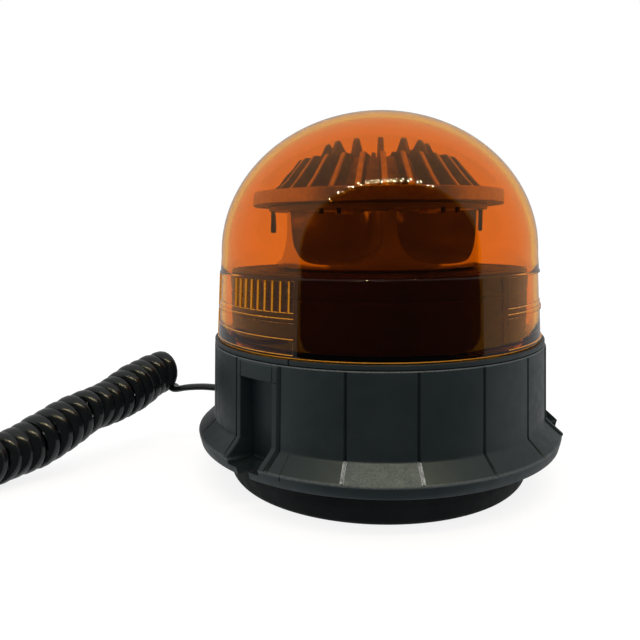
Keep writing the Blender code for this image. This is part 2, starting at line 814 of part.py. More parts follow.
def shell_profile():
    grip_r, start, end = GRIP
    barrel_r, barrel_end = BARREL
    inner = barrel_r - PLUG_WALL
    return [
        (barrel_r, barrel_end), (barrel_r, end + 2), (grip_r, end), (grip_r, start + 3),
        (grip_r - 2.5, start), (3.0, start), (3.0, start + 2), (grip_r - PLUG_WALL - 2, start + 3.5),
        (grip_r - PLUG_WALL, end - 1.5), (inner, end + 1), (inner, barrel_end),
    ]


def plug_shells():
    """Two halves split on the level plane; the upper one carries the rocker's window."""
    for name, side in (("plug_shell_upper", -1), ("plug_shell_lower", 1)):
        half = turned(name, shell_profile(), "abs", 32)
        half.matrix_world = plug_place()
        keep = box_mesh(name + "_half", (60, 60, 140), (0, side * (30 + GAP / 2), 40))
        keeper = cutter(name + "_half", keep)
        keeper.matrix_world = plug_place()
        boolean(half, keeper, "INTERSECT")
        slots = joined(
            name + "_slots",
            [
                (box_mesh("slot", (6, 3.4, 19.4), (sign * 10, 0, 61)), Matrix.Identity(4))
                for sign in (-1, 1)
            ],
        )
        slot = cutter(name + "_slots", slots)
        slot.matrix_world = plug_place()
        boolean(half, slot)
        if side < 0:
            length, width, centre = ROCKER
            window = box_mesh("rocker_window", (width + 1.4, 10, length + 1.8), (0, -11.5, centre))
            hole = cutter("rocker_window", window)
            hole.matrix_world = plug_place()
            boolean(half, hole)


def plug_nose():
    outer, start = BARREL
    profile = [
        (6.6, NOSE_END), (9.2, start + 3.5), (outer, start + GAP), (7.6, start + GAP),
        (7.6, start + 3.2), (4.2, start + 5.0), (4.2, NOSE_END),
    ]
    turned("plug_nose_ring", profile, "steel", 28).matrix_world = plug_place()


def plug_tip():
    start = BARREL[1]
    profile = [
        (0, TIP_END), (2.2, TIP_END - 0.4), (3.6, TIP_END - 2.4), (3.6, start + 2.7),
        (6.6, start + 2.7), (6.6, start + 0.9), (0, start + 0.9),
    ]
    turned("plug_tip", profile, "brass", 20, ring=False).matrix_world = plug_place()


def tip_spring():
    """A wire coil from the fuse's cap to the tip."""
    radius, turns, low, high = 3.4, 4, 63.4, 73.9
    route = []
    count = turns * 9
    for i in range(count + 1):
        turn = 2 * math.pi * turns * i / count
        lift = low + (high - low) * i / count
        local = Vector((radius * math.cos(turn), radius * math.sin(turn), lift))
        place = plug_place() @ (local * MM)
        route.append(place / MM)
    tube("plug_tip_spring", route, 0.45, "steel", 1)


def plug_fuse():
    profile = [(0, 62.6), (3.1, 62.6), (3.1, 32.6), (0, 32.6)]
    turned("plug_fuse", profile, "glass", 16, ring=False).matrix_world = plug_place()


def side_contacts():
    """Bowed spring strips that stand out of the barrel's two slots."""
    outline = [
        (8.0, 52.6), (9.6, 53.4), (11.6, 59.5), (11.6, 62.5), (9.6, 68.6), (8.0, 69.4),
        (8.0, 68.3), (9.0, 67.9), (10.6, 62.0), (10.6, 60.0), (9.0, 54.1), (8.0, 53.7),
    ]
    for name, turn in (("plug_contact_right", 0.0), ("plug_contact_left", math.pi)):
        strip = extruded(name, outline, 2.6)
        strip.transform(Matrix.Rotation(turn, 4, "Z"))
        add(name, strip, "steel").matrix_world = plug_place()


def plug_rocker():
    length, width, centre = ROCKER
    outline = [
        (-length / 2, -3.0), (length / 2, -3.0), (length / 2, 0.9), (0, 0.2), (-length / 2, 0.9),
    ]
    made = extruded("plug_rocker", outline, width)
    made.transform(Matrix.Rotation(math.pi / 2, 4, "Z"))
    obj = add("plug_rocker", made, "red")
    x, y, z = plug_place() @ (Vector((0, 0, centre)) * MM)
    obj.location = (x, y, z + GRIP[0] * MM)


def build():
    rubber_boot()
    ring_magnet()
    steel_plate()
    plate_screws()
    centre_bolt()
    centre_washer()
    hex_nut("centre_nut", 7.5, 4.3, 20.2, 26.7)
    base_housing()
    lock_ring()
    dome_seal()
    dome_lens()
    inner_drum()
    drum_screws()
    reflector()
    led_board()
    leds()
    heat_sink()
    head_stud()
    hex_nut("head_nut", 4.6, STUD_HOLE, 76.8, DRUM_TOP - WALL - GAP)
    led_lead()
    driver_board()
    board_screws()
    capacitor("capacitor_1", 6.5, 14.0, -8.0, -22.0)
    capacitor("capacitor_2", 4.0, 9.0, -24.0, -16.0)
    choke()
    driver_chip()
    terminal_block()
    cable_grommet()
    inner_lead()
    cord_lead()
    cord_coil()
    cord_tail()
    strain_relief()
    plug_shells()
    plug_nose()
    plug_tip()
    tip_spring()
    plug_fuse()
    side_contacts()
    plug_rocker()


build()
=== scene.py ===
"""Looks of an amber LED warning beacon with a magnetic foot, a curly lead and a vehicle plug.

Angles about Z are in degrees from -Y, positive towards +X. Lengths are in millimetres until
a helper turns them into metres.
"""
import json
import math

import bmesh
import bpy
from mathutils import Matrix, Vector

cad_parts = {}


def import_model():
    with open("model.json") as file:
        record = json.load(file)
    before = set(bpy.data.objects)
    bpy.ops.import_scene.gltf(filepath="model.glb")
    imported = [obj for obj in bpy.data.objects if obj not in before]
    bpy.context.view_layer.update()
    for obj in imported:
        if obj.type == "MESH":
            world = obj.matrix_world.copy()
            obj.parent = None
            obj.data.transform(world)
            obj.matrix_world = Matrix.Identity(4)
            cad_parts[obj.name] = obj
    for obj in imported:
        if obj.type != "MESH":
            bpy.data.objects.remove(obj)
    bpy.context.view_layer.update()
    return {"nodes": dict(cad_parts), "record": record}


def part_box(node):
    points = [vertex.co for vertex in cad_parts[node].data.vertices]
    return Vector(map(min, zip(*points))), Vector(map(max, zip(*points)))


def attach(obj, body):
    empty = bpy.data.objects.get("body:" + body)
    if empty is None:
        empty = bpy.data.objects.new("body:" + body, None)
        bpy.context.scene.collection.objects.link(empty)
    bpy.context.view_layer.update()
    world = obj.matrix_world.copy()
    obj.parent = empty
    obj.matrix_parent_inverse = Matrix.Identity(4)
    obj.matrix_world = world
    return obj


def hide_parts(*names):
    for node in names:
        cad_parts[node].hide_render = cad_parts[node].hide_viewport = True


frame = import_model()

MM = 0.001


def box_of(node):
    low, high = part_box(node)
    return Vector(low) / MM, Vector(high) / MM


# Driving sizes, read from the frame
HOUSING_LOW, HOUSING_HIGH = box_of("base_housing")
RING_LOW, RING_HIGH = box_of("lock_ring")
DOME_LOW, DOME_HIGH = box_of("dome_lens")
DRUM_LOW, DRUM_HIGH = box_of("inner_drum")
BOOT_HIGH = box_of("rubber_boot")[1]
SINK_LOW, SINK_HIGH = box_of("heat_sink")
MIRROR_LOW, MIRROR_HIGH = box_of("reflector")
BOARD_LOW = box_of("led_board")[0]
GRIP_LOW, GRIP_HIGH = box_of("plug_shell_lower")
RELIEF_LOW = box_of("plug_strain_relief")[0]

# Housing
RIM_R = HOUSING_HIGH.x
RIM_LOW = HOUSING_LOW.z
TOP_R = RIM_R - 7.7
RIM_RISE = 1.4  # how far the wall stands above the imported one
TOP_Z = HOUSING_HIGH.z + RIM_RISE
WALL_FOOT = (RIM_R - 6.5, RIM_LOW + 10.3)
SKIRT_FOOT_Z = RIM_LOW + 4.4
LEDGE_IN = 59.2
LEDGE_TOP = 50.2
INNER_R = TOP_R - 2.1
FLOOR_TOP = 18.0
THIRD = 120.0
PANEL = 20.14
POCKET_SPAN = THIRD - 5 * PANEL
FIRST_GROOVE = -52.97
POCKET_ANGLES = [FIRST_GROOVE + POCKET_SPAN / 2 + THIRD * i for i in range(3)]
GROOVE_HALF = 0.62
GROOVE_DEEP = 0.9
SEAM_ANGLE = 13.1
POCKET_HALF = 8.2
POCKET_BACK = 62.2
POCKET_TOP = 48.6
POCKET_FLOOR = 17.6
FRAME_HALF = 10.62
GROOVE_AT = 11.3
SLOT_HALF = 3.2
SLOT_END = 67.5
PLAIN_FROM = 10.9  # degrees from a pocket to the plain wall
COLUMN_STEP = 1.3
NOTCH_ANGLE = -30.8

# Dome
DOME_FOOT = (DOME_HIGH.x, RING_HIGH.z + 0.3)
STEP_Z = 83.5
STEP_R = 64.4
SHOULDER = (63.5, 89.7)
DOME_WALL = 2.4
SPIGOT_R = 62.9
PANEL_CENTRES = (-56.0, 64.0, 184.0)
PANEL_HALF = 26.0
RIB_PITCH = 3.15
RIBS = 9
RIB_EDGE = 2.2  # degrees from a panel's edge to its first rib
RIB_LOW, RIB_TOP = 72.4, 82.9
BAND_LOW = 70.5
WINDOW_LOW, WINDOW_MID, WINDOW_TOP = 58.4, 63.6, 69.0

# Light head
FINS = 28
FIN_PHASE = -1.2
BITE_PHASE = 32.5
HOLLOW = [  # (distance from the axis, half width, depth below the top)
    (14.5, 0.0, 0.0), (15.0, 3.5, 5.0), (17.0, 7.0, 9.5), (20.0, 10.0, 13.2), (25.0, 13.2, 16.6),
    (30.0, 16.0, 18.2), (36.0, 19.2, 19.0), (41.0, 21.9, 19.2), (50.0, 22.0, 19.2), (54.0, 20.0, 18.0),
    (55.0, 0.0, 0.0),
]

# Cord
WIRE_WIDE = 5.0
WIRE_THICK = 2.8
COIL_OD = 19.1
COIL_LEAN = [(0, 20), (15, 24), (60, 33), (110, 26), (150, 8), (400, 6)]
COIL_SWELL = [(0, 0.98), (8, 1.03), (16, 1.13), (21, 1.13), (28, 1.06), (34, 0.98), (41, 0.98),
              (47, 1.06), (53, 1.14), (64, 1.14), (72, 1.07), (84, 1.04), (95, 0.98), (400, 0.98)]
FRONT_SIDE = Vector((0.58, -0.71, 0.39))
TURN_PACKING = 0.93  # pitch as a share of the cord's width
HELIX_STEP = 0.2
EXIT = Vector((-71.3, 16.9, 28.6))
LEAD_ROUTE = [
    EXIT,
    Vector((-77.5, 18.0, 28.8)),
    Vector((-84.5, 19.2, 28.3)),
    Vector((-89.8, 20.6, 27.2)),
]
COIL_ROUTE = [
    (-96.4, 27.0, 34.7),
    (-101.9, 22.5, 33.2),
    (-107.7, 16.5, 30.0),
    (-113.3, 10.5, 26.8),
    (-118.7, 5.0, 24.6),
    (-124.0, 0.0, 23.4),
    (-129.1, -5.0, 21.0),
    (-134.2, -9.5, 18.0),
    (-139.3, -13.5, 15.3),
    (-144.2, -17.5, 13.1),
    (-149.1, -21.0, 11.8),
    (-153.6, -25.5, 10.7),
    (-160.5, -34.0, 9.9),
    (-167.5, -49.0, 9.8),
]
COIL_TURN_CENTRE = (-208.0, -68.0)
COIL_TURN_R = 35.0
COIL_REST = 9.8
TAIL_Z = 2.1

# Plug axis, along +Y
PLUG_X = (GRIP_LOW.x + GRIP_HIGH.x) / 2
PLUG_Z = GRIP_HIGH.z
PLUG_Y = RELIEF_LOW.y

# Camera
CAMERA_AT = Vector((-23.7, -261.8, 101.0))
CAMERA_DOWN = 8.52
CAMERA_ROLL = -0.59
CAMERA_LENS = 35.32

# Room, as the dome mirrors it
DARK_FRONT = (5.2, 63.7, 2.8)  # middle and reach in degrees, and how square its outline is
ROOM_SEEN = 0.42
FRONT_SEEN = 0.035
LAMPS = 26
LAMP_SIZE = 0.018
LAMP_POWER = 0.16
LAMP_TINT = (1.0, 0.86, 0.50)
LAMP_FROM, LAMP_SWEEP = -48, 102
LAMP_ZIGZAG = 0.9
LAMP_CENTRE = Vector((-4, -56, 115))
LAMP_AWAY = 1.2

SHARP_ANGLE = 32


# Helpers for places and meshes


def around(distance, angle, z=0.0):
    turn = math.radians(angle)
    return Vector((distance * math.sin(turn), -distance * math.cos(turn), z))


def beside(distance, side, angle, z=0.0):
    """A point this far out along an angle and this far to its side."""
    turn = math.radians(angle)
    out = Vector((math.sin(turn), -math.cos(turn), 0))
    across = Vector((math.cos(turn), math.sin(turn), 0))
    return out * distance + across * side + Vector((0, 0, z))


def facing(angle):
    """The turn about Z that takes +X to this angle."""
    return Matrix.Rotation(math.radians(angle - 90), 4, "Z")


def rounded(points, radius=0.3, steps=3, closed=True):
    """The outline with each corner turned into a short curve."""
    points = [Vector(p) for p in points]
    found = []
    last = len(points) - 1
    for i, here in enumerate(points):
        if not closed and i in (0, last):
            found.append(here)
            continue
        before, after = points[i - 1], points[(i + 1) % len(points)]
        back = min(radius, (before - here).length * 0.45)
        ahead = min(radius, (after - here).length * 0.45)
        start = here + (before - here).normalized() * back
        end = here + (after - here).normalized() * ahead
        for k in range(steps + 1):
            t = k / steps
            found.append(start * (1 - t) ** 2 + here * 2 * t * (1 - t) + end * t * t)
    return found


def smoothed(mesh):
    mesh.shade_smooth()
    mesh.set_sharp_from_angle(angle=math.radians(SHARP_ANGLE))
    return mesh


def clean(made, mesh):
    bmesh.ops.remove_doubles(made, verts=made.verts, dist=2e-7)
    bmesh.ops.dissolve_degenerate(made, edges=made.edges, dist=1e-7)
    bmesh.ops.recalc_face_normals(made, faces=made.faces)
    made.to_mesh(mesh)
    made.free()
    return smoothed(mesh)


def skin(name, rows, closed=True):
    """A surface through rings of points, each ring closed on itself."""
    count = len(rows[0])
    points = [tuple(p * MM) for row in rows for p in row]
    faces = []
    for i in range(len(rows) if closed else len(rows) - 1):
        a, b = i * count, (i + 1) % len(rows) * count
        for j in range(count):
            k = (j + 1) % count
            faces.append((a + j, a + k, b + k, b + j))
    mesh = bpy.data.meshes.new(name)
    mesh.from_pydata(points, [], faces)
    made = bmesh.new()
    made.from_mesh(mesh)
    return clean(made, mesh)


def lathe(name, outline, steps=180, closed=True):
    """Turns an outline of (radius, height) about Z."""
    angles = [360 * j / steps for j in range(steps)]
    return skin(name, [[around(p[0], a, p[1]) for a in angles] for p in outline], closed)


def prism(name, outline, thickness, edge=0.0):
    """A prism of an (x, z) outline, centred on the XZ plane."""
    made = bmesh.new()
    half = thickness * MM / 2
    face = made.faces.new([made.verts.new((x * MM, -half, z * MM)) for x, z in outline])
    out = bmesh.ops.extrude_face_region(made, geom=[face])
    moved = [g for g in out["geom"] if isinstance(g, bmesh.types.BMVert)]
    bmesh.ops.translate(made, vec=(0, 2 * half, 0), verts=moved)
    if edge:
        rims = [e for e in made.edges if abs(e.verts[0].co.y - e.verts[1].co.y) < half]
        bmesh.ops.bevel(made, geom=rims, offset=edge * MM, segments=2, affect="EDGES")
    return clean(made, bpy.data.meshes.new(name))


def block(name, size, centre=(0, 0, 0), edge=0.3):
    made = bmesh.new()
    bmesh.ops.create_cube(made, size=1)
    bmesh.ops.scale(made, vec=Vector(size) * MM, verts=made.verts)
    bmesh.ops.bevel(made, geom=made.edges[:], offset=edge * MM, segments=3, affect="EDGES")
    bmesh.ops.translate(made, vec=Vector(centre) * MM, verts=made.verts)
    return clean(made, bpy.data.meshes.new(name))


def merged(name, parts):
    """One mesh of several, each moved by its own matrix."""
    made = bmesh.new()
    for mesh, matrix in parts:
        mesh.transform(matrix)
        made.from_mesh(mesh)
        bpy.data.meshes.remove(mesh)
    return clean(made, bpy.data.meshes.new(name))


def place(name, mesh, finish, body, stands_for=()):
    """Links a piece, gives it its finish, hangs it on its body, and hides the parts it takes the place of.
    """
    obj = bpy.data.objects.new(name, mesh)
    bpy.context.scene.collection.objects.link(obj)
    for material in finish if isinstance(finish, (list, tuple)) else [finish]:
        mesh.materials.append(material)
    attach(obj, body)
    if stands_for:
        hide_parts(*stands_for)
    return obj


def boolean(obj, mesh, operation):
    """Cuts or joins a mesh into the object and applies it."""
    other = bpy.data.objects.new("tool", mesh)
    bpy.context.scene.collection.objects.link(other)
    step = obj.modifiers.new("step", "BOOLEAN")
    step.operation = operation
    step.object = other
    step.solver = "EXACT"
    graph = bpy.context.evaluated_depsgraph_get()
    result = bpy.data.meshes.new_from_object(obj.evaluated_get(graph), depsgraph=graph)
    obj.modifiers.clear()
    old = obj.data
    obj.data = smoothed(result)
    bpy.data.objects.remove(other)
    bpy.data.meshes.remove(old)
    bpy.data.meshes.remove(mesh)


def paint(mesh, amount):
    """Stores how much each point is rubbed pale, from 0 to 1, for the finishes to read; along the base's top
    edge the pale grey is a painted highlight.
    """
    layer = mesh.attributes.new("wear_and_highlight", "FLOAT", "POINT")
    values = [amount(v.co / MM) for v in mesh.vertices]
    layer.data.foreach_set("value", values)


# Finishes


def nodes_of(name):
    made = bpy.data.materials.new(name)
    made.use_nodes = True
    tree = made.node_tree
    return made, tree, tree.nodes["Principled BSDF"]


def node(tree, kind, **values):
    made = tree.nodes.new(kind)
    for key, value in values.items():
        if key in made.inputs:
            made.inputs[key].default_value = value
        else:
            setattr(made, key, value)
    return made


def grain(tree, scale, detail=3.0, rough=0.55):
    """Noise in the object's own space. The scale is in features to the metre."""
    place_in = node(tree, "ShaderNodeTexCoord")
    made = node(tree, "ShaderNodeTexNoise", Scale=scale, Detail=detail, Roughness=rough)
    tree.links.new(place_in.outputs["Object"], made.inputs["Vector"])
    return made.outputs["Fac"]


def ranged(tree, value, low, high, start=0.3, end=0.7):
    made = node(tree, "ShaderNodeMapRange")
    for key, number in (("From Min", start), ("From Max", end), ("To Min", low), ("To Max", high)):
        made.inputs[key].default_value = number
    tree.links.new(value, made.inputs["Value"])
    return made.outputs["Result"]


def blended(tree, value, first, second):
    """The first colour at 0 and the second at 1. Either may be a node's output."""
    made = node(tree, "ShaderNodeMix", data_type="RGBA")
    tree.links.new(value, made.inputs["Factor"])
    for key, colour in ((6, first), (7, second)):
        if isinstance(colour, tuple):
            made.inputs[key].default_value = (*colour, 1)
        else:
            tree.links.new(colour, made.inputs[key])
    return made.outputs[2]


def product(tree, first, second):
    made = node(tree, "ShaderNodeMath", operation="MULTIPLY")
    tree.links.new(first, made.inputs[0])
    tree.links.new(second, made.inputs[1])
    return made.outputs[0]


def finish(name, low, high, rough, cloud=60.0, fine=1500.0, height=0.02, metallic=0.0,
           wear_and_highlight=None, **sockets):
    """Moulded or metal surface: two tones in clouds, varied roughness and a fine grain."""
    made, tree, shader = nodes_of(name)
    tone = blended(tree, ranged(tree, grain(tree, cloud), 0, 1), low, high)
    shine = ranged(tree, grain(tree, cloud * 4.3), rough[0], rough[1])
    # mixes the stored pale grey in: rubbed plastic, and on the base's top edge a painted highlight
    if wear_and_highlight:
        colour, amount = wear_and_highlight
        worn_and_highlit = node(tree, "ShaderNodeAttribute", attribute_name="wear_and_highlight")
        patchy = ranged(tree, grain(tree, 1600, 5, 0.75), 0.25 * amount, amount, 0.38, 0.62)
        tone = blended(tree, product(tree, worn_and_highlit.outputs["Fac"], patchy), tone, colour)
    tree.links.new(tone, shader.inputs["Base Color"])
    tree.links.new(shine, shader.inputs["Roughness"])
    bump = node(tree, "ShaderNodeBump", Strength=0.35, Distance=height * MM)
    tree.links.new(grain(tree, fine, 2), bump.inputs["Height"])
    tree.links.new(bump.outputs["Normal"], shader.inputs["Normal"])
    shader.inputs["Metallic"].default_value = metallic
    for key, value in sockets.items():
        shader.inputs[key.replace("_", " ")].default_value = value
    return made


def amber_finish():
    """Clear dyed polycarbonate, a little deeper where the moulding ran thick."""
    made, tree, shader = nodes_of("amber_lens")
    clouds = ranged(tree, grain(tree, 14, 1), 0, 1)
    tone = blended(tree, clouds, (0.85, 0.352, 0.002), (0.825, 0.328, 0.001))
    tree.links.new(tone, shader.inputs["Base Color"])
    tree.links.new(ranged(tree, grain(tree, 200), 0.002, 0.006), shader.inputs["Roughness"])
    bump = node(tree, "ShaderNodeBump", Strength=0.06, Distance=0.04 * MM)
    tree.links.new(grain(tree, 45, 1), bump.inputs["Height"])
    tree.links.new(bump.outputs["Normal"], shader.inputs["Normal"])
    shader.inputs["Transmission Weight"].default_value = 1.0
    shader.inputs["IOR"].default_value = 1.42
    return made


# pale grey for rubbed plastic, also used as a painted highlight on the base's top edge
WEAR_AND_HIGHLIGHT_GREY = (0.20, 0.21, 0.21)
FINISH = {
    "abs": finish("base_plastic", (0.0050, 0.0085, 0.0105), (0.0075, 0.0115, 0.0135), (0.38, 0.50),
                  fine=2600, height=0.05, wear_and_highlight=(WEAR_AND_HIGHLIGHT_GREY, 0.8), Specular_IOR_Level=0.7,
                  Specular_Tint=(0.84, 0.97, 1.0, 1)),
    "scuffed": finish("scuffed_plastic", (0.13, 0.135, 0.14), (0.46, 0.47, 0.47), (0.5, 0.75),
                      cloud=800, fine=2600, height=0.08),
    "drum": finish("drum_plastic", (0.034, 0.010, 0.008), (0.044, 0.013, 0.010), (0.45, 0.6),
                   Specular_IOR_Level=0.2),
    "rubber": finish("rubber", (0.0025, 0.0032, 0.0036), (0.005, 0.0062, 0.0068), (0.55, 0.7),
                     fine=1800, height=0.04, Specular_IOR_Level=0.15),
    "ferrite": finish("ferrite", (0.05, 0.05, 0.055), (0.10, 0.10, 0.105), (0.5, 0.7), cloud=300,
                      fine=2500, height=0.06),
    "steel": finish("zinc_steel", (0.55, 0.56, 0.60), (0.68, 0.68, 0.66), (0.22, 0.38), metallic=1.0),
    "amber": amber_finish(),
    # painted glow: a paler, less clear amber that makes the dome's foot and step edges look lit from within
    "amber_painted_glow": finish("amber_painted_glow", (0.80, 0.30, 0.02), (0.88, 0.36, 0.03), (0.2, 0.3),
                         Transmission_Weight=0.35, IOR=1.5),
    "chrome": finish("mirror_plastic", (0.80, 0.77, 0.75), (0.90, 0.87, 0.85), (0.10, 0.20),
                     fine=60, height=0.05, metallic=0.6, Specular_IOR_Level=0.8),
    # painted shade: the white board is made mid grey, standing in for the shade on its underside
    "board": finish("white_board", (0.40, 0.40, 0.39), (0.50, 0.50, 0.48), (0.35, 0.5)),
    # painted shade: the dark alloy on the fin sides stands in for the shade between the fins; the paler copy
    # below is a painted highlight for the fin edges and the disc's outer side
    "alloy": finish("cast_alloy", (0.20, 0.19, 0.185), (0.30, 0.29, 0.28), (0.45, 0.6), cloud=250,
                    fine=1600, height=0.1, metallic=0.55),
    "alloy_painted_highlight": finish("cast_alloy_painted_highlight", (0.50, 0.50, 0.50), (0.66, 0.66, 0.65), (0.3, 0.45),
                         cloud=400, metallic=0.8),
    "wire": finish("wire_red", (0.40, 0.02, 0.015), (0.50, 0.04, 0.02), (0.35, 0.45)),
    "green": finish("green_board", (0.015, 0.15, 0.06), (0.025, 0.20, 0.08), (0.3, 0.45)),
    "component": finish("component", (0.02, 0.02, 0.03), (0.04, 0.04, 0.05), (0.3, 0.45)),
    "copper": finish("copper_wire", (0.55, 0.24, 0.10), (0.68, 0.33, 0.15), (0.25, 0.4), metallic=1.0),
    "terminal": finish("terminal_plastic", (0.03, 0.20, 0.10), (0.05, 0.27, 0.14), (0.35, 0.5)),
    "cord": finish("cord_jacket", (0.0022, 0.0032, 0.0038), (0.0045, 0.0058, 0.0066), (0.17, 0.25),
                   cloud=90, fine=500, height=0.015, Coat_Weight=0.3, Coat_Roughness=0.10),
    "plug": finish("plug_plastic", (0.010, 0.010, 0.011), (0.015, 0.015, 0.016), (0.40, 0.55),
                   fine=2400, height=0.05),
    "nickel": finish("nickel", (0.66, 0.63, 0.58), (0.76, 0.73, 0.68), (0.12, 0.22), metallic=1.0),
    "brass": finish("brass", (0.66, 0.46, 0.18), (0.76, 0.56, 0.25), (0.2, 0.32), metallic=1.0),
    "glass": finish("fuse_glass", (0.80, 0.86, 0.86), (0.86, 0.90, 0.90), (0.02, 0.05)),
    "rocker": finish("rocker_plastic", (0.012, 0.012, 0.013), (0.02, 0.02, 0.021), (0.12, 0.2)),
    "led": finish("led_package", (0.80, 0.66, 0.20), (0.88, 0.76, 0.34), (0.15, 0.25), cloud=900),
}

FINISH_OF_SLOT = {
    "base_plastic": "abs", "drum_plastic": "drum", "rubber": "rubber", "ferrite": "ferrite",
    "zinc_steel": "steel", "mirror_plastic": "chrome", "white_board": "board",
    "cast_alloy": "alloy", "wire_red": "wire", "green_board": "green", "component": "component",
    "copper_wire": "copper", "terminal_plastic": "terminal", "cord_jacket": "cord",
    "plug_plastic": "plug", "nickel": "nickel", "brass": "brass", "fuse_glass": "glass",
    "rocker_plastic": "rocker", "led_package": "led", "amber_lens": "amber",
}


# Camera


def camera():
    data = bpy.data.cameras.new("camera")
    data.lens = CAMERA_LENS
    data.clip_start = 0.01
    data.clip_end = 30
    obj = bpy.data.objects.new("camera", data)
    bpy.context.scene.collection.objects.link(obj)
    tilt = Matrix.Rotation(math.radians(90 - CAMERA_DOWN), 4, "X")
    roll = Matrix.Rotation(math.radians(CAMERA_ROLL), 4, "Z")
    obj.matrix_world = Matrix.Translation(CAMERA_AT * MM) @ tilt @ roll
    bpy.context.scene.camera = obj


# Cord


def smooth_route(points, spacing):
    """Points along a Catmull-Rom curve through these, about this far apart."""
    points = [Vector(p) for p in points]
    ends = [2 * points[0] - points[1]] + points + [2 * points[-1] - points[-2]]
    found = []
    for a, b, c, d in zip(ends, ends[1:], ends[2:], ends[3:]):
        count = max(1, round((c - b).length / spacing))
        for i in range(count):
            t = i / count
            found.append(
                0.5 * (2 * b + (c - a) * t + (2 * a - 5 * b + 4 * c - d) * t * t
                       + (3 * b - a - 3 * c + d) * t ** 3)
            )
    return found + [points[-1]]


def coil_route():
    x, y = COIL_TURN_CENTRE
    route = list(COIL_ROUTE)
    for i in range(7):
        turn = math.radians(-10 - 160 * i / 6)
        place_at = (x + COIL_TURN_R * math.cos(turn), y + COIL_TURN_R * math.sin(turn), COIL_REST)
        route.append(place_at)
    return route + [(x - COIL_TURN_R - 1.5, y + 8.0, COIL_REST)]


def tail_route():
    x, y, _ = coil_route()[-1]
    start = y + 0.4
    route = [
        (x - 0.2, start + 12, TAIL_Z), (x - 0.8, start + 28, TAIL_Z + 0.2),
        (x - 1.8, start + 42, TAIL_Z + 2.0), (PLUG_X + 0.6, PLUG_Y - 14, PLUG_Z - 4.5),
        (PLUG_X + 0.1, PLUG_Y - 6, PLUG_Z - 0.9), (PLUG_X, PLUG_Y - 0.3, PLUG_Z),
    ]
    return [Vector(p) for p in route]


def even(points, spacing):
    """The same line with points at equal distances, and the distance used."""
    lengths = [0.0]
    for a, b in zip(points, points[1:]):
        lengths.append(lengths[-1] + (b - a).length)
    count = round(lengths[-1] / spacing)
    found, k = [], 0
    for i in range(count + 1):
        at = lengths[-1] * i / count
        while k < len(points) - 2 and lengths[k + 1] < at:
            k += 1
        share = (at - lengths[k]) / max(1e-9, lengths[k + 1] - lengths[k])
        found.append(points[k].lerp(points[k + 1], share))
    return found, lengths[-1] / count


def joint_curve(start, start_way, end, end_way, pull, count):
    """Points of a smooth bridge between two ends, without the ends themselves."""
    found = []
    for i in range(1, count):
        t = i / count
        found.append(
            start * (1 - t) ** 3 + (start + start_way * pull) * 3 * t * (1 - t) ** 2
            + (end - end_way * pull) * 3 * t * t * (1 - t) + end * t ** 3
        )
    return found


def eased(table, at):
    """The value at a place along a table of (place, value)."""
    for (a, first), (b, second) in zip(table, table[1:]):
        if at <= b:
            return first + (second - first) * (at - a) / (b - a)
    return table[-1][1]


def helix():
    """The cord's centre line round the coil's, with the way its flat side faces.

    The turns lean over, so that each one's near side lies further back along the coil."""
    line, step = even(smooth_route(coil_route(), 1.0), HELIX_STEP)
    ways = [(b - a).normalized() for a, b in zip(line, line[1:])]
    ways.append(ways[-1])
    reach = (COIL_OD - WIRE_THICK) / 2
    out = Vector((0.0, -0.35, -0.94))
    phase = 0.0
    found = []
    for i, (centre, way) in enumerate(zip(line, ways)):
        out = (out - way * out.dot(way)).normalized()
        side = way.cross(out)
        near = (FRONT_SIDE - way * FRONT_SIDE.dot(way)).normalized()
        lean = math.tan(math.radians(eased(COIL_LEAN, i * step)))
        turns = phase / (2 * math.pi)
        swell = eased(COIL_SWELL, i * step) + 0.012 * math.sin(turns * 2.1)
        ray = out * math.cos(phase) - side * math.sin(phase)
        lean *= 1 + 0.10 * math.sin(turns * 1.7 + 0.5)
        found.append((centre + ray * reach * swell - way * reach * lean * ray.dot(near), ray))
        pitch = WIRE_WIDE * TURN_PACKING * math.sqrt(1 + lean * lean * 0.6)
        phase += 2 * math.pi * step / pitch
    return found


def cord_line():
    """Points along the cord, each with the way its flat side faces."""
    turns = helix()
    ends = [ray.dot(Vector((-0.87, 0.0, -0.5))) for _, ray in turns[-24:]]
    stop = len(turns) - 24 + ends.index(max(ends))
    turns = turns[:stop + 1]
    lead = smooth_route(LEAD_ROUTE, 1.5)
    tail = smooth_route(tail_route(), 2.0)
    points = [p for p, _ in turns]
    first = (points[1] - points[0]).normalized()
    last = (points[-1] - points[-2]).normalized()
    lead_way = (lead[-1] - lead[-2]).normalized()
    tail_way = (tail[1] - tail[0]).normalized()
    into = joint_curve(lead[-1], lead_way, points[0], first, 2.6, 6)
    out_of = joint_curve(points[-1], last, tail[0], tail_way, 6.0, 9)
    down = Vector((0, 0, -1))
    found = [(p, down) for p in lead]
    found += [(p, down.lerp(turns[0][1], (i + 1) / 6)) for i, p in enumerate(into)]
    found += turns
    found += [(p, turns[-1][1].lerp(down, (i + 1) / 9)) for i, p in enumerate(out_of)]
    return found + [(p, down) for p in tail]


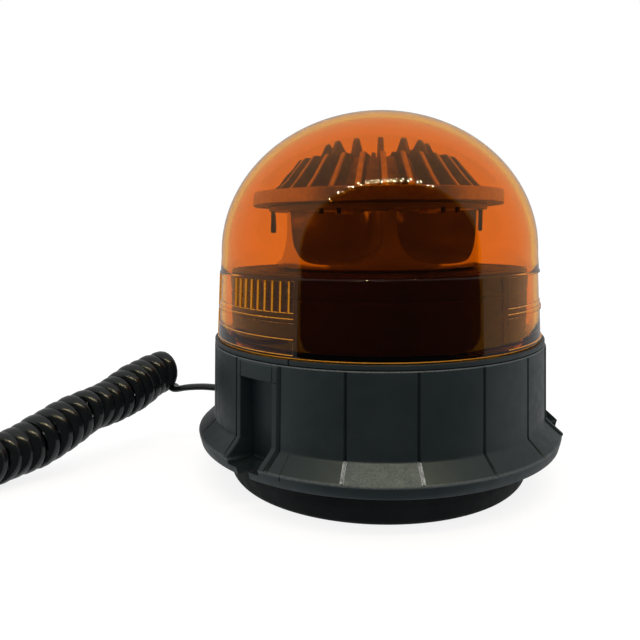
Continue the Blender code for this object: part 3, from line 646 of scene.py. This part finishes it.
def cord():
    line = cord_line()
    points = [p for p, _ in line]
    sides = 14
    rows = []
    for i, (here, flat) in enumerate(line):
        way = (points[min(i + 1, len(points) - 1)] - points[max(i - 1, 0)]).normalized()
        across = way.cross(flat).normalized()
        thin = across.cross(way)
        ring = []
        for k in range(sides):
            turn = 2 * math.pi * (k + 0.5) / sides
            c, d = math.cos(turn), math.sin(turn)
            wide = math.copysign(abs(c) ** 0.9, c) * WIRE_WIDE / 2
            thick = math.copysign(abs(d) ** 0.9, d) * WIRE_THICK / 2
            ring.append(here + across * wide + thin * thick)
        rows.append(ring)
    mesh = skin("cord", rows, closed=False)
    made = bmesh.new()
    made.from_mesh(mesh)
    bmesh.ops.holes_fill(made, edges=[e for e in made.edges if e.is_boundary], sides=0)
    mesh = clean(made, mesh)
    obj = place("cord", mesh, FINISH["cord"], "base", ["cord_lead", "cord_coil", "cord_tail"])
    length = sum((b - a).length for a, b in zip(points, points[1:])) * MM
    return obj, length, [tuple(p * MM) for p in points]


# Housing


def pocket_sides():
    """Distances to one side of a pocket's middle, as (distance, in the slot, groove)."""
    slot = [(SLOT_HALF * math.sin(math.radians(18 * k)), True, 0.0) for k in range(6)]
    plain = [SLOT_HALF, 3.9, 5.4, 6.8, 7.5, POCKET_HALF - 0.35, POCKET_HALF - 0.3, POCKET_HALF,
             POCKET_HALF + 0.25, POCKET_HALF + 0.5, 9.5, FRAME_HALF - 0.3, FRAME_HALF - 0.1]
    sides = slot + [(t, False, 0.0) for t in plain]
    for offset in (-GROOVE_HALF - 0.03, -GROOVE_HALF, 0.0, GROOVE_HALF, GROOVE_HALF + 0.2):
        sides.append((GROOVE_AT + offset, False, 1.0 if offset == 0 else 0.0))
    return sides


def housing_columns():
    """Columns round the base: (angle, side or None, in the slot, groove, seam)."""
    columns = []
    for pocket in POCKET_ANGLES:
        sides = pocket_sides()
        for t, slot, groove in reversed(sides):
            columns.append((pocket, -t, slot, groove, 0.0))
        for t, slot, groove in sides[1:]:
            columns.append((pocket, t, slot, groove, 0.0))
        edge = math.degrees(GROOVE_HALF / TOP_R)
        stops = [pocket + POCKET_SPAN / 2 + PANEL * k for k in range(1, 5)]
        marks = {pocket + PLAIN_FROM: (0, 0), pocket + THIRD - PLAIN_FROM: (0, 0)}
        for stop in stops:
            for offset, weight in ((-edge - 0.2, 0), (-edge, 0), (0, 1), (edge, 0), (edge + 0.2, 0)):
                marks[stop + offset] = (weight, 0)
        for offset, weight in ((-0.22, 0), (0, 1), (0.22, 0)):
            marks[pocket + SEAM_ANGLE + offset] = (0, weight)
        plain = pocket + PLAIN_FROM + 0.9
        while plain < pocket + THIRD - PLAIN_FROM:
            if all(abs(plain - mark) > 0.7 for mark in marks):
                marks[plain] = (0, 0)
            plain += COLUMN_STEP
        for angle in sorted(marks):
            columns.append((angle, None, False, *marks[angle]))
    return columns


def wall_r(z):
    foot_r, foot_z = WALL_FOOT
    return TOP_R + (foot_r - TOP_R) * (TOP_Z - z) / (TOP_Z - foot_z)


def housing_rows():
    """Rings of the base: (radius, height, groove depth, frame height, place in a pocket,
    place behind or under a pocket)."""
    foot_r, foot_z = WALL_FOOT
    rows = [
        (INNER_R, TOP_Z, 0, 0, None, None),
        (TOP_R - 0.45, TOP_Z, 0, 0, None, None),
        (TOP_R - 0.18, TOP_Z - 0.08, 0, 0, None, None),
        (TOP_R - 0.02, TOP_Z - 0.3, 0, 0, None, None),
        (TOP_R + 0.01, TOP_Z - 0.55, 0.3, 0, None, None),
        (wall_r(TOP_Z - 0.8), TOP_Z - 0.8, GROOVE_DEEP, 0.15, None, None),
    ]
    for z in (TOP_Z - 1.1, TOP_Z - 3.0, POCKET_TOP + 0.5, POCKET_TOP + 0.2):
        rows.append((wall_r(z), z, GROOVE_DEEP, 0.45, None, None))
    rows.append((wall_r(POCKET_TOP), POCKET_TOP, GROOVE_DEEP, 0.25, None, None))
    rows.append((wall_r(POCKET_TOP - 0.1), POCKET_TOP - 0.1, GROOVE_DEEP, 0.45,
                 (POCKET_BACK + 0.5, POCKET_TOP - 0.7), None))
    for z in (POCKET_TOP - 1.2, 45.0, 40.0, 35.0, 30.0, 27.5, foot_z + 0.7):
        rows.append((wall_r(z), z, GROOVE_DEEP, 0.45, (POCKET_BACK, z), None))
    rim_z = SKIRT_FOOT_Z
    down = [(0.0, 0.1, 25.0), (0.06, 0.0, 24.0), (0.12, 0.0, 23.4), (0.35, 0.0, 21.5), (0.65, 0.0, 20.0),
            (0.9, 0.0, 18.9)]
    for share, lift, sunk_z in down:
        r = foot_r + (RIM_R - foot_r) * share
        z = foot_z + (rim_z - foot_z) * share + lift
        rows.append((r + lift, z, 1.5, 0.9, (POCKET_BACK, sunk_z), None))
    rows += [
        (RIM_R - 0.3, rim_z + 0.26, 1.1, 0.7, (POCKET_BACK, POCKET_FLOOR + 0.5), None),
        (RIM_R - 0.1, rim_z + 0.08, 0.2, 0.3, (POCKET_BACK + 0.5, POCKET_FLOOR), None),
        (RIM_R, rim_z - 0.2, 0, 0.1, (66.0, POCKET_FLOOR), None),
        (RIM_R - 0.05, rim_z - 0.6, 0, 0, (70.0, POCKET_FLOOR), None),
        (RIM_R - 0.22, POCKET_FLOOR + 0.3, 0, 0, (73.4, POCKET_FLOOR), None),
        (RIM_R - 0.3, POCKET_FLOOR, 0, 0, (RIM_R - 0.5, POCKET_FLOOR), None),
        (RIM_R - 0.35, POCKET_FLOOR - 0.2, 0, 0, (RIM_R - 0.35, POCKET_FLOOR - 0.2), None),
        (RIM_R - 0.85, RIM_LOW + 0.25, 0, 0, None, None),
        (RIM_R - 1.1, RIM_LOW, 0, 0, None, None),
        (RIM_R - 2.9, RIM_LOW, 0, 0, None, None),
        (RIM_R - 3.1, RIM_LOW + 0.2, 0, 0, None, (RIM_R - 3.1, RIM_LOW)),
        (RIM_R - 2.6, 18.4, 0, 0, None, (RIM_R - 3.4, RIM_LOW)),
        (67.6, 22.6, 0, 0, None, (67.6, RIM_LOW)),
        (66.8, RIM_LOW, 0, 0, None, None),
        (60.0, RIM_LOW, 0, 0, None, None),
        (4.5, RIM_LOW, 0, 0, None, None),
        (4.5, FLOOR_TOP, 0, 0, None, None),
        (59.8, FLOOR_TOP, 0, 0, None, None),
        (foot_r - 2.4, FLOOR_TOP, 0, 0, None, (59.8, FLOOR_TOP + 0.1)),
        (INNER_R, LEDGE_TOP - 2.7, 0, 0, None, (59.8, LEDGE_TOP - 2.8)),
        (LEDGE_IN, LEDGE_TOP - 2.7, 0, 0, None, None),
        (LEDGE_IN, LEDGE_TOP, 0, 0, None, None),
        (INNER_R, LEDGE_TOP, 0, 0, None, None),
    ]
    return rows


def housing_point(column, row):
    angle, side, slot, groove, seam = column
    r, z, deep, frame_up, sunk, behind = row
    if side is None:
        on_skirt = WALL_FOOT[1] - 0.5 > z > POCKET_FLOOR
        return around(r - groove * deep - (seam * 0.35 if on_skirt else 0), angle, z)
    near = abs(side)
    flat = False
    if near < FRAME_HALF and frame_up:
        edge = near > FRAME_HALF - 0.2 or POCKET_HALF <= near < POCKET_HALF + 0.1
        r += frame_up * (0.4 if edge else 1.0)
    if sunk and near < POCKET_HALF - 0.2:
        r, z = sunk
        flat = r < 66
    if behind and near <= FRAME_HALF:
        r, z = behind
    if slot and z <= POCKET_FLOOR:
        end = SLOT_END - math.sqrt(max(0.0, SLOT_HALF ** 2 - side ** 2))
        if r > end:
            r, flat = end, True
    r -= groove * deep
    out = r if flat else math.sqrt(max(0.0, r * r - side * side)) if r > near else 0.0
    if r <= 4.5:
        return around(r, angle + side * 0.9, z)
    return beside(out, side, angle, z)


def housing():
    columns = housing_columns()
    mesh = skin("housing", [[housing_point(c, row) for c in columns] for row in housing_rows()])
    scuffed = [FIRST_GROOVE + POCKET_SPAN + PANEL, FIRST_GROOVE + POCKET_SPAN + 2 * PANEL]

    def worn_and_highlit(point):
        r = math.hypot(point.x, point.y)
        # painted highlight: the top edge just under the ring is made pale grey, standing in for the light
        # line along it
        top = 0.6 if point.z > TOP_Z - 0.4 and r > TOP_R - 0.3 else 0.0
        edge = 0.35 if abs(point.z - SKIRT_FOOT_Z) < 0.5 and r > RIM_R - 0.6 else 0.0
        turn = math.degrees(math.atan2(point.x, -point.y))
        on_skirt = SKIRT_FOOT_Z < point.z < WALL_FOOT[1] and r > WALL_FOOT[0]
        facet = 0.38 if on_skirt and scuffed[0] < turn < scuffed[1] else 0.0
        return max(top, edge, facet)

    paint(mesh, worn_and_highlit)
    place("housing", mesh, [FINISH["abs"], FINISH["scuffed"]], "base", ["base_housing"])
    for face in mesh.polygons:
        middle = face.center / MM
        turn = math.degrees(math.atan2(middle.x, -middle.y))
        on_skirt = SKIRT_FOOT_Z + 0.2 < middle.z < WALL_FOOT[1] - 0.2 and middle.xy.length > 67
        if on_skirt and any(abs(turn - angle) < 0.6 for angle in scuffed):
            face.material_index = 1


def lock_ring():
    outer = RING_HIGH.x
    top, low = RING_HIGH.z, TOP_Z + 0.3
    deep = RING_LOW.z
    inner = SPIGOT_R + 0.4
    outline = rounded(
        [(outer - 0.05, top), (outer, low), (64.8, low), (64.8, deep), (inner, deep), (inner, top)],
        0.3,
    )
    angles = [i * 1.5 for i in range(240) if abs(i * 1.5 - 360 - NOTCH_ANGLE) > 0.9]
    angles += [NOTCH_ANGLE + 360 + d for d in (-0.24, -0.2, 0.2, 0.24)]
    angles.sort()
    rows = []
    for r, z in outline:
        ring = []
        for a in angles:
            cut = abs(a - 360 - NOTCH_ANGLE) < 0.22 and z > deep + 3 and r > 64.9
            ring.append(around(min(r, 66.5) if cut else r, a, z))
        rows.append(ring)
    place("ring", skin("ring", rows), FINISH["abs"], "lock_ring", ["lock_ring"])


def boot():
    top_r, top_z = BOOT_HIGH.x, BOOT_HIGH.z
    outline = rounded(
        [
            (top_r, top_z), (top_r - 0.2, 11.0), (top_r - 0.75, 7.0), (61.8, 1.3), (60.8, 0.0),
            (56.0, 0.0), (55.4, 0.5), (53.6, 0.5), (53.0, 0.0), (36.0, 0.0), (35.4, 0.5), (33.8, 0.5),
            (33.2, 0.0), (30.0, 0.0), (30.0, 2.0), (57.7, 2.0), (57.9, top_z),
        ],
        0.5,
    )
    place("boot", lathe("boot", outline, 200), FINISH["rubber"], "base", ["rubber_boot"])


def magnet():
    low, high = box_of("ring_magnet")
    outline = rounded([(high.x, high.z), (high.x, low.z), (26.0, low.z), (26.0, high.z)], 0.8, 3)
    place("magnet", lathe("magnet", outline, 160), FINISH["ferrite"], "base", ["ring_magnet"])


# Dome


def dome_relief(turn, z):
    """How far the dome's outside is sunk at this angle and height."""
    for number, centre in enumerate(PANEL_CENTRES):
        off = (turn - centre + 180) % 360 - 180
        if abs(off) > PANEL_HALF + 0.01:
            continue
        if RIB_LOW < z < RIB_TOP:
            from_edge = PANEL_HALF - off - RIB_EDGE
            rib = from_edge % RIB_PITCH
            ribbed = number != 1 and -0.5 < from_edge < RIB_PITCH * (RIBS - 0.5)
            near_rib = min(rib, RIB_PITCH - rib) < 0.26
            return 0.0 if ribbed and near_rib else 0.7
        if BAND_LOW < z <= RIB_LOW:
            return 0.4
        if number == 1:
            return 0.5 if WINDOW_LOW < z < WINDOW_TOP else 0.0
        if WINDOW_MID < z < WINDOW_TOP:
            return 0.6
        if WINDOW_LOW < z <= WINDOW_MID:
            return 0.3
    return 0.0


def dome_angles():
    marks = set()
    for number, centre in enumerate(PANEL_CENTRES):
        for sign in (-1, 1):
            for offset in (-0.1, 0.1):
                marks.add(round(centre + sign * PANEL_HALF + offset, 3))
        if number != 1:
            for k in range(RIBS):
                rib = centre + PANEL_HALF - RIB_EDGE - RIB_PITCH * k
                for offset in (-0.42, -0.25, -0.12, 0.12, 0.25, 0.42):
                    marks.add(round(rib + offset, 3))
    turn = -180.0
    extra = []
    while turn < 180.0:
        if all(abs((turn - m + 180) % 360 - 180) > 0.35 for m in marks):
            extra.append(turn)
        turn += 1.25
    return sorted([(m + 180) % 360 - 180 for m in marks] + extra)


def ellipse(radius, height, base, count):
    found = []
    for i in range(count + 1):
        turn = math.pi / 2 * (1 - i / count)
        found.append((radius * math.cos(turn), base + height * math.sin(turn)))
    found[0] = (0.0, base + height)
    return found


def side_r(z):
    foot_r, foot_z = DOME_FOOT
    return foot_r + (STEP_R - foot_r) * (z - foot_z) / (STEP_Z - foot_z)


def dome():
    top = DOME_HIGH.z - SHOULDER[1]
    outer = ellipse(SHOULDER[0], top, SHOULDER[1], 44)
    outer += [(SHOULDER[0] + 0.3, 86.5), (STEP_R - 0.42, STEP_Z + 0.55)]
    outer += [(STEP_R - 0.33, STEP_Z + 0.34), (STEP_R - 0.12, STEP_Z + 0.18), (STEP_R, STEP_Z - 0.1)]
    steps = [83.15, 82.98, 82.82, 80.0, 77.0, 74.5, 72.52, 72.3, 70.62, 70.4, 69.12, 68.9, 66.5,
             63.72, 63.5, 61.0, 58.5, 58.3]
    outer += [(side_r(z), z) for z in steps]
    foot_r, foot_z = DOME_FOOT
    outer += [(foot_r - 0.02, foot_z + 0.45), (foot_r - 0.15, foot_z + 0.12), (foot_r - 0.45, foot_z)]
    low = DOME_LOW.z
    spigot_in = SPIGOT_R - 2.2
    neck = [(SPIGOT_R + 0.2, foot_z), (SPIGOT_R, foot_z - 0.2), (SPIGOT_R, low + 0.3), (SPIGOT_R - 0.3, low),
            (spigot_in + 0.3, low), (spigot_in, low + 0.3), (spigot_in, foot_z), (foot_r - 3.0, 59.2),
            (foot_r - 2.75, 60.4)]
    inner = [(side_r(z) - DOME_WALL, z) for z in (65.0, 70.0, 75.0, 80.0, STEP_Z)]
    inner += ellipse(SHOULDER[0] - DOME_WALL, top - DOME_WALL, SHOULDER[1], 44)[::-1]
    angles = dome_angles()
    rows = []
    for r, z in outer:
        sunk = [dome_relief(a, z) if 58 < z < 83 else 0.0 for a in angles]
        rows.append([around(r - s, a, z) for a, s in zip(angles, sunk)])
    for r, z in neck + inner:
        rows.append([around(r, a, z) for a in angles])
    obj = place("dome", skin("dome", rows, closed=False),
                [FINISH["amber"], FINISH["amber_painted_glow"], FINISH["drum"]], "dome", ["dome_lens"])
    for face in obj.data.polygons:
        middle = face.center / MM
        out = Vector((middle.x, middle.y, 0)).normalized()
        # painted glow: the faces at the dome's foot and the steep faces of the relief steps take the paler
        # amber
        glowing_lip = middle.z < 57.9 and middle.xy.length > 65.2
        step = 58.0 < middle.z < 83.2 and middle.xy.length > 63.4 and abs(face.normal.dot(out)) < 0.7
        face.material_index = 1 if glowing_lip or step else 0
        turn = math.degrees(math.atan2(middle.x, -middle.y))
        # painted shade: a dark line of the drum's finish along one step at the front panel's edge, where the
        # dome has no dark part
        if step and abs(turn - PANEL_CENTRES[1] + PANEL_HALF) < 0.4:
            face.material_index = 2


# Inside the dome


def drum():
    outer, top, low = DRUM_HIGH.x, DRUM_HIGH.z, DRUM_LOW.z
    wall = 2.4
    outline = [
        (2.9, top), (52.0, top), (52.4, top - 0.4), (54.0, top - 0.4), (54.4, top),
        (outer - 0.9, top), (outer, top - 0.9), (outer, 77.0), (outer - 0.5, 76.7),
        (outer - 0.5, 76.0), (outer, 75.7), (outer, 52.8), (58.6, 52.0), (58.6, low), (46.0, low),
        (46.0, low + 2.5), (56.2, low + 2.5), (outer - wall, 53.0), (outer - wall, top - wall),
        (2.9, top - wall),
    ]
    place("drum", lathe("drum", rounded(outline, 0.25), 200), FINISH["drum"], "base", ["inner_drum"])


def reflector():
    outer, low, top = 41.2, MIRROR_LOW.z, MIRROR_HIGH.z
    outline = rounded([(outer, top), (outer, low + 1.0), (outer - 2.5, low), (2.9, low), (2.9, top)], 0.5)
    obj = place("mirror", lathe("mirror", outline, 180), FINISH["chrome"], "base", ["reflector"])
    for i in range(6):
        bite = hollow()
        at = Matrix.Translation((0, 0, top * MM))
        bite.transform(facing(BITE_PHASE + 60 * i) @ at)
        boolean(obj, bite, "DIFFERENCE")


def hollow():
    """A bluff bowl, squarish from the front, that bites a lamp's hollow out of the reflector."""
    rows = []
    for reach, half, deep in smooth_route(HOLLOW, 1.0):
        row = []
        for k in range(72):
            turn = 2 * math.pi * k / 72
            c, d = math.cos(turn), math.sin(turn)
            side = half * math.copysign(abs(c) ** 0.667, c)
            row.append(Vector((reach, side, deep * math.copysign(abs(d) ** 0.667, d))))
        rows.append(row)
    return skin("hollow", rows, closed=False)


def heat_sink():
    outer, low = SINK_HIGH.x, SINK_LOW.z
    disc_top = low + 4.9
    fin_top = low + 17.9
    outline = rounded(
        [(0, fin_top - 1.2), (25.6, fin_top - 1.2), (34.2, disc_top + 0.3), (outer, disc_top), (outer, low),
         (48.4, low), (48.0, low + 0.6), (45.5, low + 0.6), (45.1, low), (0, low)],
        0.35, closed=False,
    )
    obj = place("sink", lathe("sink", outline, 160, closed=False),
                [FINISH["alloy"], FINISH["alloy_painted_highlight"]], "base", ["heat_sink"])
    tip_top = SINK_HIGH.z
    edge = [(44.0, disc_top - 1), (42.6, disc_top + 0.8), (39.0, disc_top + 4.5),
            (32.4, fin_top - 0.6), (31.6, fin_top)]
    tip = [(24.0, fin_top), (21.2, tip_top - 0.6), (20.6, tip_top), (19.6, tip_top), (15.0, fin_top)]
    inside = [(12.0, fin_top), (12.0, disc_top - 1)]
    fins = []
    for i in range(FINS):
        outline = edge + inside if i % 2 else edge + tip + inside
        fins.append((prism("fin", outline, 2.0, 0.3), facing(FIN_PHASE + 360 / FINS * i)))
    boolean(obj, merged("fins", fins), "UNION")
    # painted highlight: fin edges and the disc's outer side take the paler alloy; the fin sides keep the
    # dark alloy as painted shade
    for face in obj.data.polygons:
        out = Vector((face.center.x, face.center.y, 0)).normalized()
        middle = face.center / MM
        r = middle.xy.length
        side = abs(face.normal.cross(out).z)
        proud = r > 34.9 - (middle.z - disc_top) * 0.62
        lit_fin_edge = face.normal.dot(out) > 0.4 and side < 0.5 and proud and middle.z > disc_top + 0.5
        lit_rim = r > outer - 0.5 and middle.z > low + 0.5
        face.material_index = 1 if lit_fin_edge or lit_rim else 0


def brackets():
    """Small clips that hang from the board's edge in front of each lamp."""
    clips = []
    for i in range(6):
        drop = 2.4 if i in (0, 5) else 9.0
        for shift in (-3.4, 3.4):
            centre = (42.4, shift, BOARD_LOW.z + 0.4 - drop / 2)
            clips.append((block("clip", (1.6, 1.3, drop), centre, 0.25), facing(BITE_PHASE + 60 * i)))
    place("clips", merged("clips", clips), FINISH["component"], "base")


# Plug


def laid(mesh):
    """Takes a mesh made along +Z from the plug's cord end to where the plug lies."""
    lay = Matrix.Rotation(-math.pi / 2, 4, "X")
    mesh.transform(Matrix.Translation(Vector((PLUG_X, PLUG_Y, PLUG_Z)) * MM) @ lay)
    return mesh


def relief():
    """A ribbed rubber sleeve where the cord enters the plug."""
    outline = [(0, 22.0), (5.6, 22.0), (5.6, 18.2)]
    for i in range(6):
        z = 17.2 - 2.8 * i
        r = 5.0 - 0.36 * i
        outline += [(r, z + 0.7), (r, z - 0.7), (r - 0.8, z - 1.0), (r - 0.8, z - 1.8)]
    outline += [(2.9, 0.8), (2.7, 0.0), (0, 0.0)]
    mesh = laid(lathe("relief", rounded(outline, 0.25, 2, closed=False), 48, closed=False))
    return place("relief", mesh, FINISH["rubber"], "base", ["plug_strain_relief"])


def nose():
    """The knurled ring that holds the tip in."""
    outline = rounded(
        [(6.6, 84.0), (9.2, 77.5), (10.3, 76.9), (10.3, 74.3), (7.6, 74.3), (7.6, 77.2), (4.2, 79.0),
         (4.2, 84.0)], 0.35, 3,
    )
    steps = 144
    rows = []
    for r, z in outline:
        knurled = r > 10.0 and 74.8 < z < 76.8
        row = []
        for j in range(steps):
            row.append(around(r - (0.3 if knurled and j % 3 == 0 else 0.0), 360 * j / steps, z))
        rows.append(row)
    mesh = laid(skin("nose", rows))
    return place("nose", mesh, FINISH["nickel"], "plug_nose", ["plug_nose_ring"])


def tip():
    outline = [
        (0, 88.0), (2.2, 87.6), (3.2, 86.8), (3.6, 85.6), (3.6, 76.7), (6.6, 76.7), (6.6, 74.9),
        (0, 74.9),
    ]
    mesh = laid(lathe("tip", rounded(outline, 0.4, 3, closed=False), 48, closed=False))
    return place("tip", mesh, FINISH["brass"], "plug_tip", ["plug_tip"])


# Floor and light


def floor():
    mesh = bpy.data.meshes.new("floor")
    made = bmesh.new()
    bmesh.ops.create_grid(made, x_segments=1, y_segments=1, size=6)
    made.to_mesh(mesh)
    made.free()
    obj = bpy.data.objects.new("floor", mesh)
    bpy.context.scene.collection.objects.link(obj)
    made, _, shader = nodes_of("floor")
    shader.inputs["Base Color"].default_value = (0.24, 0.24, 0.24, 1)
    shader.inputs["Roughness"].default_value = 0.9
    shader.inputs["Specular IOR Level"].default_value = 0.0
    shader.inputs["Emission Color"].default_value = (1, 1, 1, 1)
    shader.inputs["Emission Strength"].default_value = 0.82
    mesh.materials.append(made)
    obj.visible_glossy = False
    obj.visible_transmission = False


def world():
    """An even white room. Mirror rays see it dimmer, and they and rays that pass through the
    dome see a dark patch in front. The camera and matt surfaces see plain white."""
    made = bpy.data.worlds.new("room")
    bpy.context.scene.world = made
    made.use_nodes = True
    tree = made.node_tree
    sky = tree.nodes["Background"]
    direction = node(tree, "ShaderNodeTexCoord")
    split = node(tree, "ShaderNodeSeparateXYZ")
    tree.links.new(direction.outputs["Generated"], split.inputs[0])

    def maths(kind, first, second=None):
        step = node(tree, "ShaderNodeMath", operation=kind)
        for slot_in, value in zip(step.inputs, (first, second)):
            if isinstance(value, (int, float)):
                slot_in.default_value = value
            elif value is not None:
                tree.links.new(value, slot_in)
        return step.outputs[0]

    centre, half, power = DARK_FRONT
    reach = math.radians(half)
    turn = maths("ARCTAN2", split.outputs["X"], maths("MULTIPLY", split.outputs["Y"], -1.0))
    across = maths("ABSOLUTE", maths("DIVIDE", maths("SUBTRACT", turn, math.radians(centre)), reach))
    high = maths("DIVIDE", maths("ARCSINE", maths("MAXIMUM", split.outputs["Z"], 0.0)), reach)
    outside = maths("ADD", maths("POWER", across, power), maths("POWER", high, power))
    patch = maths("LESS_THAN", outside, 1.0)
    path = node(tree, "ShaderNodeLightPath")
    through = path.outputs["Is Transmission Ray"]
    sharp = maths("MAXIMUM", path.outputs["Is Glossy Ray"], through)
    dim = maths("MULTIPLY", maths("SUBTRACT", sharp, through), 1.0 - ROOM_SEEN)
    bright = maths("SUBTRACT", 1.0, dim)
    dark = maths("MULTIPLY", maths("MULTIPLY", patch, sharp), maths("SUBTRACT", bright, FRONT_SEEN))
    tree.links.new(maths("SUBTRACT", bright, dark), sky.inputs["Strength"])
    sky.inputs["Color"].default_value = (1.0, 1.0, 1.0, 1)


def light_strip():
    """A row of small lamps along the top edge of the dark part of the room."""
    centre, half, power = DARK_FRONT
    for i in range(LAMPS):
        lamp = bpy.data.lights.new(f"strip_{i + 1}", "AREA")
        lamp.shape = "DISK"
        lamp.size = LAMP_SIZE
        lamp.color = LAMP_TINT
        lamp.energy = LAMP_POWER
        obj = bpy.data.objects.new(f"strip_{i + 1}", lamp)
        bpy.context.scene.collection.objects.link(obj)
        azimuth = LAMP_FROM + LAMP_SWEEP * i / (LAMPS - 1)
        across = abs(azimuth - centre) / half
        shift = LAMP_ZIGZAG if i % 2 else -LAMP_ZIGZAG
        up = math.radians(half * (1 - across ** power) ** (1 / power) + shift)
        turn = math.radians(azimuth)
        away = Vector((math.sin(turn) * math.cos(up), -math.cos(turn) * math.cos(up), math.sin(up)))
        obj.location = LAMP_CENTRE * MM + away * LAMP_AWAY
        obj.rotation_euler = away.to_track_quat("Z", "Y").to_euler()
        obj.visible_camera = False


def dress_nodes():
    """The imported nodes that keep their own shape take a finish."""
    for part in frame["record"]["subparts"]:
        obj = frame["nodes"][part["node"]]
        material = FINISH[FINISH_OF_SLOT[part["material_slot"]]]
        if not obj.material_slots:
            obj.data.materials.append(material)
        for holder in obj.material_slots:
            holder.material = material


camera()
wire, wire_length, wire_path = cord()
dressed = ("plug_strain_relief", "plug_nose_ring", "plug_tip")
plug_nodes = [frame["nodes"][n] for n in frame["nodes"] if n.startswith("plug_") and n not in dressed]
plug_nodes += [relief(), nose(), tip()]
dress_nodes()
housing()
lock_ring()
boot()
magnet()
dome()
drum()
reflector()
heat_sink()
brackets()
floor()
world()
light_strip()
bpy.context.scene.view_settings.view_transform = "Standard"
